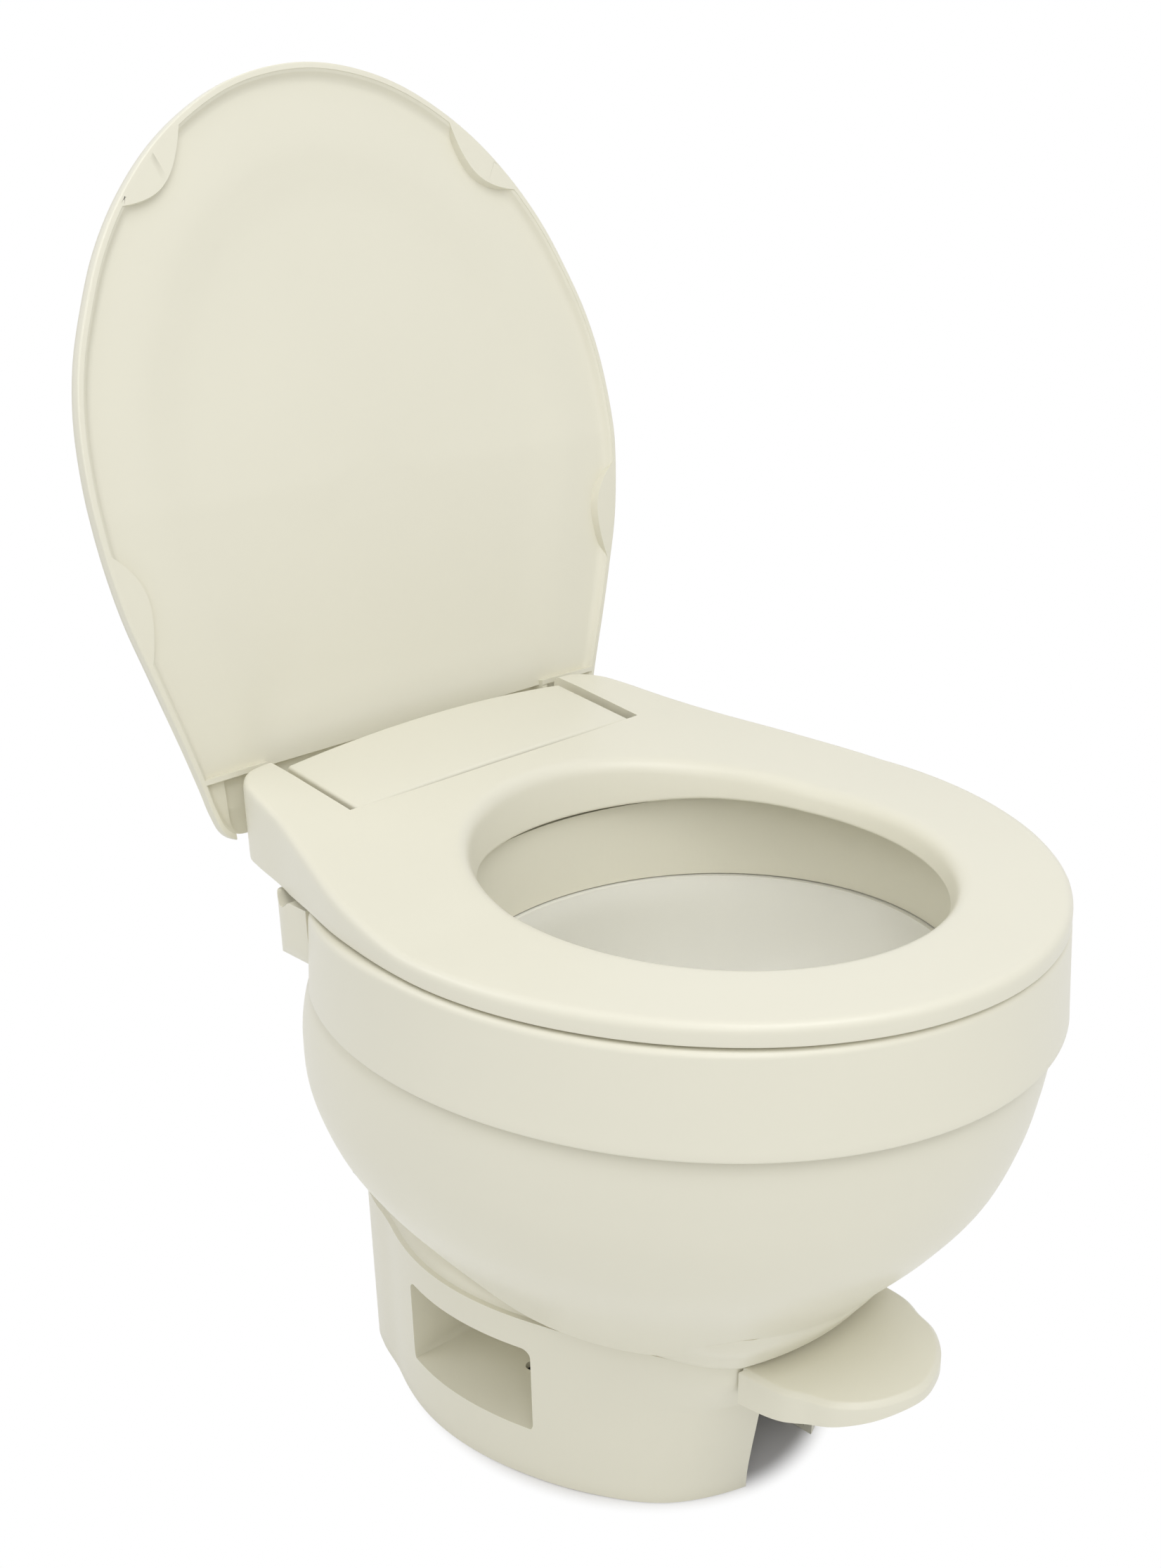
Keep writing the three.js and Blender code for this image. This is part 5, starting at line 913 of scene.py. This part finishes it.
def make_cover():
    outside = cover_slab(COVER_HALF - COVER_SIDE_TRIM, COVER_FRONT + COVER_FRONT_TRIM, COVER_REAR,
                         -COVER_PROUD, COVER_SKIRT, COVER_ROUNDS, COVER_SOFT)
    inside = cover_slab(COVER_HALF - SKIN, COVER_FRONT + SKIN, COVER_REAR - SKIN, SKIN, COVER_SKIRT + OVER,
                        COVER_HOLLOW_ROUNDS, COVER_INNER_SOFT)
    return cut(outside, inside)


# Body outlines
def body_outline(share, shift, grow, rear, corner=0.0):
    turns = full_turn(SMOOTH_TURNS)
    wide = BAND_HALF / cosine_share(BAND_TERMS, math.pi / 2)
    long = BAND_FRONT / cosine_share(BAND_TERMS, 0)
    start = rear + grow - REAR_BEND
    reach = cosine_share(BAND_TERMS, turns) * share
    extra = grow + corner * np.sin(turns) ** 2 * np.maximum(0, -np.cos(turns))
    x = (wide * reach + extra) * np.sin(turns)
    y = shift - (long * reach + extra) * np.cos(turns)
    bent = start + REAR_BEND * (1 - np.exp((start - y) / REAR_BEND))
    return np.stack([x, np.where(y > start, bent, y)], -1)


def ellipse_outline(half, length, centre):
    turns = full_turn(SMOOTH_TURNS)
    return np.stack([half * np.sin(turns), centre - length * np.cos(turns)], -1)


def lifted(outline, height):
    z = height(outline[:, 1]) if callable(height) else np.full(len(outline), float(height))
    return np.column_stack([outline, z])


def rim_opening(grow, low, high):
    outline = ellipse_outline(SKIRT_HALF + grow, SKIRT_LENGTH + grow, OPENING_Y)
    return skin([lifted(outline, low), lifted(outline, high)])


def shell_outline(row, grow):
    _, share, shift, belly = row
    rear = SHELL_REAR + SHELL_BELLY * belly
    return body_outline(share, SHELL_SHIFT * shift, grow, rear, SHELL_QUARTER * belly)


def shell_skin(grow, drop):
    rings = []
    for row in smooth_curve(SHELL, False, 6):
        z = SHELL_BOTTOM + (SHELL_TOP - SHELL_BOTTOM) * row[0]
        rings.append(lifted(shell_outline(row, grow), z - drop if row[0] < TINY else z))
    return skin(rings)


def band_level(share, drop):
    return lambda y: BAND_BOTTOM + (rim_top(y) - BAND_BOTTOM) * share - drop


def band_ring(inset, height):
    return lifted(body_outline(1, 0, -inset, BAND_REAR), height)


def band_blank():
    rings = [band_ring(BAND_SOFT, BAND_BOTTOM)]
    for turn in np.linspace(0.3, math.pi / 2, 5):
        lift = BAND_SOFT * (1 - math.cos(turn))
        rings.append(band_ring(BAND_SOFT * (1 - math.sin(turn)), BAND_BOTTOM + lift))
    for share in np.linspace(0.1, 1, 8):
        rings.append(band_ring(BAND_FLARE * share, band_level(share, BAND_ROUND * share)))
    for turn in np.linspace(0.2, math.pi / 2, 6):
        inset = BAND_FLARE + BAND_ROUND * (1 - math.cos(turn))
        rings.append(band_ring(inset, band_level(1, BAND_ROUND * (1 - math.sin(turn)))))
    return skin(rings)


def make_band():
    hollow = skin([
        band_ring(WALL, BAND_BOTTOM - OVER), band_ring(WALL + BAND_FLARE, band_level(1, BAND_ROUND + WALL)),
        band_ring(WALL + BAND_FLARE + BAND_ROUND, band_level(1, WALL)),
    ])
    skirt = rim_opening(SKIN, SKIRT_BOTTOM, lambda y: rim_top(y) - WALL / 2)
    mouth = rim_opening(0, SKIRT_BOTTOM - OVER, lambda y: rim_top(y) + OVER)
    nozzle_x = -(SKIRT_HALF + SKIN)
    nozzle = bar("x", OPENING_Y, NOZZLE_Z, NOZZLE_RADIUS + GAP, nozzle_x - WALL * 3, nozzle_x + WALL * 2)
    depth = (DECK_TOP - 2 * WALL, DECK_TOP + OVER)
    screws = [bar("z", side * SCREW_X, SCREW_Y, SCREW + GAP, *depth, SMALL_SIDES) for side in (-1, 1)]
    body = cut(join(band_blank(), deck_blank()), hollow, deck_hollow(), shell_skin(GAP, GAP))
    return cut(join(body, skirt), mouth, nozzle, *screws)


def deck_profile(inset, scooped):
    rear, top, low = DECK_REAR - inset, DECK_TOP - inset, BAND_BOTTOM
    rounding = DECK_ROUND - inset
    corner = arc(rear - rounding, top - rounding, rounding, 0, math.pi / 2, 10)
    edge = rear - rounding - WALL / 4
    dip = [(edge - SCOOP_WIDTH * share, top - SCOOP_DEPTH * math.sin(share * math.pi) ** SCOOP_BEND)
           for share in np.linspace(0, 1, 17)]
    foot = arc(rear - rounding, rounding, rounding, -math.pi / 2, 0, 8)
    foot = [(y, low + z * DECK_FOOT_ROUND) for y, z in foot]
    return [(DECK_FRONT, low), *foot, *corner, *(dip if scooped else []), (DECK_FRONT, top)]


def deck_blank():
    middle = plate("x", deck_profile(0, False), -COVER_HALF, COVER_HALF)
    full = plate("x", deck_profile(0, True), -DECK_HALF, DECK_HALF)
    plan = rounded_rectangle(around(0, DECK_HALF), around(0, DECK_REAR), DECK_PLAN_ROUND, 16)
    height = around(DECK_TOP, DECK_TOP - BAND_BOTTOM)
    ends = rounded_rectangle(around(0, DECK_HALF), height, DECK_END_ROUND, 16)
    shape = meet(join(middle, full), plate("z", plan, BAND_BOTTOM - OVER, DECK_TOP + OVER))
    return meet(shape, plate("y", ends, -OVER, DECK_REAR + OVER))


def deck_hollow():
    inner = [(DECK_FRONT - 2 * WALL if y == DECK_FRONT else y, z - OVER if z == BAND_BOTTOM else z - WALL / 4)
             for y, z in deck_profile(WALL, True)]
    return plate("x", inner, WALL - DECK_HALF, DECK_HALF - WALL)


def make_shell():
    floor = SHELL_BOTTOM + SHELL_FLANGE
    inner = [lifted(shell_outline(row, -SHELL_WALL), floor + (SHELL_TOP - floor + OVER) * row[0])
             for row in smooth_curve(SHELL, False, 6)]
    mouth = [tuple(p) for p in body_outline(MOUTH_SHARE, MOUTH_SHIFT, 0, SHELL_REAR)]
    shell = cut(shell_skin(0, 0), skin(inner), plate("z", mouth, SHELL_BOTTOM - OVER, floor + OVER))
    return join(shell, make_flare())


# Inner bowl
def bowl_section(row, grow, lift):
    height, width, length, back = row
    z = BOWL_FLANGE_TOP + (LEDGE_Z - BOWL_FLANGE_TOP) * height + lift
    centre = OPENING_Y + (THROAT_Y - OPENING_Y) * back
    half, long = THROAT + (BOWL_HALF - THROAT) * width, THROAT + (BOWL_LENGTH - THROAT) * length
    return lifted(ellipse_outline(half + grow, long + grow, centre), z)


def make_bowl():
    rows = smooth_curve(BOWL, False, 6)
    outer = skin([bowl_section(row, BOWL_WALL, 0) for row in rows])
    lifts = [OVER] + [0] * (len(rows) - 2) + [-OVER]
    inner = skin([bowl_section(row, 0, lift) for row, lift in zip(rows, lifts)])
    rim = ellipse_outline(BOWL_HALF + LEDGE, BOWL_LENGTH + LEDGE, OPENING_Y)
    ledge = skin([lifted(rim, LEDGE_Z), lifted(rim, LEDGE_Z - WALL)])
    flange = bar("z", 0, THROAT_Y, FLANGE, FLANGE_TOP + GAP, BOWL_FLANGE_TOP + GAP, WIDE_SIDES)
    throat = bar("z", 0, THROAT_Y, THROAT, FLANGE_TOP - OVER, BOWL_FLANGE_TOP + OVER, WIDE_SIDES)
    holes = [bar("z", x, y, SCREW + GAP, FLANGE_TOP - OVER, FLANGE_TOP + BOWL_WALL, SMALL_SIDES)
             for x, y in arc(0, THROAT_Y, SCREW_PITCH, math.pi / 4, math.pi * 9 / 4, 4)[:-1]]
    return cut(join(outer, ledge, flange), inner, throat, *holes)


# Pedal pad
def pedal_outline(inset, inner_share=1.0):
    reach = PEDAL_FRONT - PEDAL_INNER
    right = [(a * PEDAL_HALF, -PEDAL_INNER - b * reach) for a, b in PEDAL_EDGE]
    left = [(-x, y) for x, y in right[-2::-1]]
    outer = smooth_curve(right + left, False, 10)
    inner = [(share * PEDAL_HALF, -PEDAL_INNER - PEDAL_HOLLOW * (1 - share * share))
             for share in np.linspace(-1, 1, 49)[1:-1]]
    points = np.vstack([outer, inner])
    ahead = np.roll(points, -1, axis=0) - points
    ahead /= np.linalg.norm(ahead, axis=1, keepdims=True)
    before = np.roll(ahead, 1, axis=0)
    middle = before + ahead
    middle /= np.linalg.norm(middle, axis=1, keepdims=True)
    stretch = inset / np.maximum(SHARPEST, (middle * ahead).sum(axis=1))
    stretch[len(outer):] *= inner_share
    return points + np.stack([middle[:, 1] * stretch, -middle[:, 0] * stretch], -1)


def pad_bottom(y):
    share = np.clip((-y - PEDAL_INNER) / (PEDAL_FRONT - PEDAL_INNER), 0, 1)
    return PEDAL_TOP - PEDAL_SKIRT + (PEDAL_SKIRT - PEDAL_TIP) * share ** PEDAL_BEND


def make_pad():
    layers = [lifted(pedal_outline(0), pad_bottom)]
    for run, drop in smooth_curve(CHAMFER, False, 3):
        edge = pedal_outline(PEDAL_CHAMFER * run, PEDAL_INNER_CHAMFER)
        layers.append(lifted(edge, PEDAL_TOP - PEDAL_CHAMFER * drop))
    inside = pedal_outline(SKIN)
    hollow = slab([lifted(inside, lambda y: pad_bottom(y) - OVER), lifted(inside, LEVER_TOP + GAP)])
    length = (-PEDAL_INNER - PEDAL_HOLLOW - WALL * 2, WALL - PEDAL_INNER)
    arch = block(around(0, LEVER_HALF + RUN_GAP), length, (PEDAL_TOP - PEDAL_SKIRT * 2, LEVER_TOP + GAP))
    pilot = bar("z", 0, PAD_SCREW_Y, SCREW + GAP, LEVER_TOP, LEVER_TOP + SCREW, SMALL_SIDES)
    return cut(slab(layers), hollow, arch, pilot)


# Pedestal base
base_edge_at = radius_reader(outline_from(BASE_EDGE, BASE_HALF, BASE_FRONT, BASE_REAR), BASE_REAR / 4)


def base_ring(front, inset, z):
    turns = full_turn(SMOOTH_TURNS)
    x, y = ring_points(BASE_REAR / 4, base_edge_at(turns) - inset, turns)
    return np.column_stack([x, np.where(y < 0, y * front / BASE_FRONT, y), np.full(len(x), float(z))])


def base_rings(inset, lower):
    rise = SHELL_BOTTOM - GAP - BASE_TOP
    neck_share = NECK[-1][1]

    def front_at(share):
        return BASE_FRONT + (NECK_FRONT - BASE_FRONT) * share - inset / 2

    top = BASE_TOP - lower
    rings = [base_ring(front_at(out), inset, up * top) for up, out in smooth_curve(NECK, False, 6)]
    for up, inwards in smooth_curve(SHOULDER, False, 4)[1:]:
        out = neck_share + (1 - neck_share) * min(1, up * SHOULDER_RISE / rise)
        rings.append(base_ring(front_at(out), inset + SHOULDER_RUN * inwards, top + SHOULDER_RISE * up))
    return rings


def pocket_cutter(side):
    reach = BASE_HALF + WALL * 2
    low = POCKET_FLOOR - POCKET_SLOPE
    profile = [(POCKET_INNER, low), (BASE_HALF, POCKET_FLOOR), (reach, POCKET_FLOOR), (reach, POCKET_TOP),
               (POCKET_INNER, POCKET_TOP)]
    section = plate("y", [(side * x, z) for x, z in profile], POCKET_FRONT, POCKET_REAR)
    corners = rounded_rectangle((POCKET_FRONT, POCKET_REAR), (low, POCKET_TOP), POCKET_CORNER)
    return meet(section, plate("x", corners, *span(side, POCKET_INNER, reach)))


# The neck's front follows the pad's inner edge, and flares above it to the shell
def neck_ring(front, share, grow, z):
    x, y, height = base_ring(front, 0, z).T
    edge = PEDAL_INNER - PAD_ROOM
    target = -edge - PEDAL_HOLLOW * (1 - (x / PEDAL_HALF) ** 2)
    ahead = y < 0
    order = np.argsort(x[ahead])
    corner = np.interp(PEDAL_HALF, x[ahead][order], y[ahead][order]) + edge
    fade = 0.5 * (1 + np.cos(np.pi * np.clip((np.abs(x) - PEDAL_HALF) / NECK_FADE, 0, 1)))
    push = np.where(np.abs(x) <= PEDAL_HALF, y - target, corner * fade)
    y = np.where(ahead, y - push * share, y)
    length = np.hypot(x, y)
    facing = np.clip((-y / length - FACING[0]) / FACING[1], 0, 1)
    facing = facing * facing * (3 - 2 * facing)
    stretch = 1 + ((grow + FLARE_TUCK) * facing - FLARE_TUCK) / length if grow else 1
    return np.column_stack([x * stretch, y * stretch, height])


def make_collar():
    collar = skin([neck_ring(front, share, 0, z) for z, front, share in COLLAR])
    return cut(collar, skin(base_rings(COLLAR_OVERLAP, 0)))


def make_flare():
    low = PEDAL_TOP + 2 * GAP
    flare = skin([neck_ring(NECK_REACH, 1, grow, low + up) for up, grow in smooth_curve(FLARE, False, 4)])
    front = block(around(0, BASE_HALF + WALL), (-BAND_FRONT, 0), (low - OVER, SHELL_TOP))
    inside = shell_skin(-FLARE_OVERLAP, -FLARE_OVERLAP)
    return cut(meet(flare, front), skin(base_rings(-GAP, 0)), inside)


# Walls inside the base: pockets, the bridge between them and the bearings of the pedal's pin
def base_inside(floor):
    length = (POCKET_FRONT - POCKET_WALL, POCKET_REAR + POCKET_WALL)
    height = (floor, POCKET_TOP + POCKET_WALL)
    bearing = (around(PIVOT_Y, BEARING_HALF), around(PIVOT_Z, BEARING_HALF))
    leg = (PIVOT_Y + BEARING_HALF - WALL, PIVOT_Y + SPRING_LEG + WALL)
    widths = [span(side, POCKET_INNER - POCKET_WALL, BASE_HALF + WALL) for side in (-1, 1)]
    return [
        *(block(width, length, height) for width in widths),
        block(around(0, POCKET_INNER), length, (BRIDGE_TOP - WALL, BRIDGE_TOP)),
        block((BEARING_RIGHT, BASE_HALF), *bearing),
        block((-BASE_HALF, BEARING_LEFT), *bearing),
        block((BEARING_LEFT - WALL, SPRING_END), leg, (LEG_FLOOR - WALL, LEG_FLOOR)),
        block((BEARING_LEFT - WALL, BEARING_LEFT), (PIVOT_Y, leg[1]), (LEG_FLOOR - WALL, PIVOT_Z)),
    ]


def base_bores(floor):
    notch = rounded_rectangle(around(0, NOTCH_HALF), around(0, PEDAL_TOP), POCKET_CORNER)
    bores = [
        plate("y", notch, -NECK_FRONT * 2, -BASE_FRONT / 2),
        bar("x", PIVOT_Y, PIVOT_Z, PIN + GAP, PEDAL_PIN_LEFT - GAP, PEDAL_PIN_RIGHT + GAP),
        bar("y", VALVE_X, INLET_Z, INLET_RADIUS + 2 * GAP, BASE_REAR - SHOULDER_RUN, BASE_REAR * 2),
    ]
    depth = (floor - OVER, POCKET_FLOOR + OVER)
    bores += [bar("z", side * BOLT_X, THROAT_Y, BOLT_RADIUS, *depth, BOLT_SIDES) for side in (-1, 1)]
    return bores


def make_base():
    floor = POCKET_FLOOR - POCKET_SLOPE - WALL
    outer = skin(base_rings(0, 0))
    inner_rings = base_rings(WALL, WALL)
    inner_rings[0][:, 2] = FOOT_HEIGHT
    foot = BASE_FRONT - FOOT_WIDTH / 2
    foot_hole = skin([base_ring(foot, FOOT_WIDTH, -OVER), base_ring(foot, FOOT_WIDTH, FOOT_HEIGHT + OVER)])
    neck = bar("z", 0, THROAT_Y, OUTLET_NECK + 2 * GAP + WALL / 2, -OVER, BRIDGE_TOP + OVER, WIDE_SIDES)
    added = [meet(piece, copy_of(outer)) for piece in base_inside(floor)]
    shell = join(cut(outer, skin(inner_rings), foot_hole), *added, make_collar())
    body = cut(shell, shell_skin(GAP, GAP), pocket_cutter(-1), pocket_cutter(1), neck)
    post = cut(block(*POST), bar("y", VALVE_X, SHAFT_Z, VALVE_RADIUS + GAP, VALVE_FRONT, VALVE_REAR))
    return cut(join(body, post), *base_bores(floor))


# Each smooth piece stands for its CAD node, on the node's own body
def dress(name, made, body):
    made.name = name + "_skin"
    made.data.name = made.name
    made.data.transform(Matrix.Translation((0, SHIFT, 0)) @ Matrix.Scale(MILLIMETRE, 4))
    finish_surface(made, "bowl_plastic_lit" if name == "inner_bowl" else "bone_plastic")
    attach(made, body)
    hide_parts(name)


PIECES = (
    ("seat", make_seat, "seat"), ("lid", make_lid, "lid"), ("hinge_cover", make_cover, "pedestal"),
    ("rim_band", make_band, "pedestal"), ("bowl_shell", make_shell, "pedestal"),
    ("inner_bowl", make_bowl, "pedestal"), ("pedestal_base", make_base, "pedestal"),
    ("pedal_pad", make_pad, "pedal"),
)
for piece_name, maker, piece_body in PIECES:
    dress(piece_name, maker(), piece_body)


# Floor, world and lights, in metres
FLOOR_RADIUS = 4.0
FLOOR_DROP = 0.0006
SHADOW_PLACE = (0.0, -0.15, 0.0)  # ellipse round the foot in which the floor shows its shadow
SHADOW_SCALE = (8.4, 6.9, 0.0)
SHADOW_FADE = (0.93, 1.07)
WHITE = (1.0, 1.0, 1.0, 1.0)
LAMP_TARGET = (0.0, 0.0, 0.35)
# Name, place, size and power of each lamp
LAMPS = (
    ("front_left", (-1.5, -1.5, 1.6), 1.2, 8.2), ("front", (-0.2, -2.0, 1.5), 1.4, 3.2),
    ("top", (0.0, 0.0, 2.4), 1.6, 2.0), ("top_front", (-0.3, -1.0, 2.3), 1.4, 16.4),
    ("back_left", (-1.5, 1.2, 1.8), 1.2, 8.4),
)


def calculated(tree, operation, first, second):
    node = add_node(tree, "ShaderNodeMath", operation=operation)
    tree.links.new(first, node.inputs[0])
    tree.links.new(second, node.inputs[1])
    return node.outputs["Value"]


def mixed(tree, share, first, second):
    node = add_node(tree, "ShaderNodeMixShader")
    tree.links.new(share, node.inputs["Fac"])
    tree.links.new(first, node.inputs[1])
    tree.links.new(second, node.inputs[2])
    return node.outputs["Shader"]


# 1 for rays that show the background: straight from the camera, reflected or refracted
def seen_rays(tree):
    ray = add_node(tree, "ShaderNodeLightPath").outputs
    reflected = calculated(tree, "MAXIMUM", ray["Is Glossy Ray"], ray["Is Transmission Ray"])
    return calculated(tree, "MAXIMUM", reflected, ray["Is Camera Ray"])


# 0 near the foot and 1 farther out
def shadow_edge(tree):
    link = tree.links.new
    coordinates = add_node(tree, "ShaderNodeTexCoord")
    ellipse = add_node(tree, "ShaderNodeMapping", {"Location": SHADOW_PLACE, "Scale": SHADOW_SCALE})
    link(coordinates.outputs["Object"], ellipse.inputs["Vector"])
    length = add_node(tree, "ShaderNodeVectorMath", operation="LENGTH")
    link(ellipse.outputs["Vector"], length.inputs[0])
    limits = {"From Min": SHADOW_FADE[0], "From Max": SHADOW_FADE[1], "To Min": 0.0, "To Max": 1.0}
    fade = add_node(tree, "ShaderNodeMapRange", limits, interpolation_type="SMOOTHSTEP")
    link(length.outputs["Value"], fade.inputs["Value"])
    return fade.outputs["Result"]


# White where it is seen, apart from the shadow at the foot, deepened there by a greyer floor colour as
# painted shade, and a pale bounce for the object
def floor_material():
    made = bpy.data.materials.new("floor")
    tree = bare_tree(made)
    out = add_node(tree, "ShaderNodeOutputMaterial")
    # Painted shade: near the foot the camera sees a greyer floor than the bounce, which darkens the shadow
    # there
    darkened_floor = add_node(tree, "ShaderNodeBsdfDiffuse", {"Color": (0.8, 0.79, 0.8, 1.0)})
    bounce = add_node(tree, "ShaderNodeBsdfDiffuse", {"Color": (0.9, 0.9, 0.88, 1.0)})
    glow = add_node(tree, "ShaderNodeEmission", {"Color": WHITE, "Strength": 1.0})
    visible = seen_rays(tree)
    near = mixed(tree, visible, bounce.outputs["BSDF"], darkened_floor.outputs["BSDF"])
    seen = calculated(tree, "MULTIPLY", shadow_edge(tree), visible)
    tree.links.new(mixed(tree, seen, near, glow.outputs["Emission"]), out.inputs["Surface"])
    return made


def add_floor():
    mesh = bpy.data.meshes.new("floor")
    shape = bmesh.new()
    bmesh.ops.create_circle(shape, cap_ends=True, segments=WIDE_SIDES, radius=FLOOR_RADIUS)
    shape.to_mesh(mesh)
    shape.free()
    floor = bpy.data.objects.new("floor", mesh)
    floor.location = (0.0, 0.0, -FLOOR_DROP)
    scene.collection.objects.link(floor)
    mesh.materials.append(floor_material())


def add_world():
    world = bpy.data.worlds.new("studio")
    scene.world = world
    tree = bare_tree(world)
    out = add_node(tree, "ShaderNodeOutputWorld")
    soft = add_node(tree, "ShaderNodeBackground", {"Color": WHITE, "Strength": 0.47})
    white = add_node(tree, "ShaderNodeBackground", {"Color": WHITE, "Strength": 1.0})
    seen = mixed(tree, seen_rays(tree), soft.outputs["Background"], white.outputs["Background"])
    tree.links.new(seen, out.inputs["Surface"])


def add_lamp(name, spot, size, power):
    data = bpy.data.lights.new(name, "AREA")
    data.shape = "RECTANGLE"
    data.size = size
    data.size_y = size
    data.energy = power
    lamp = bpy.data.objects.new(name, data)
    lamp.location = spot
    lamp.rotation_euler = (Vector(LAMP_TARGET) - Vector(spot)).to_track_quat("-Z", "Y").to_euler()
    scene.collection.objects.link(lamp)


add_camera()
add_floor()
add_world()
for lamp_settings in LAMPS:
    add_lamp(*lamp_settings)
scene.view_settings.view_transform = "Standard"
scene.cycles.use_denoising = True
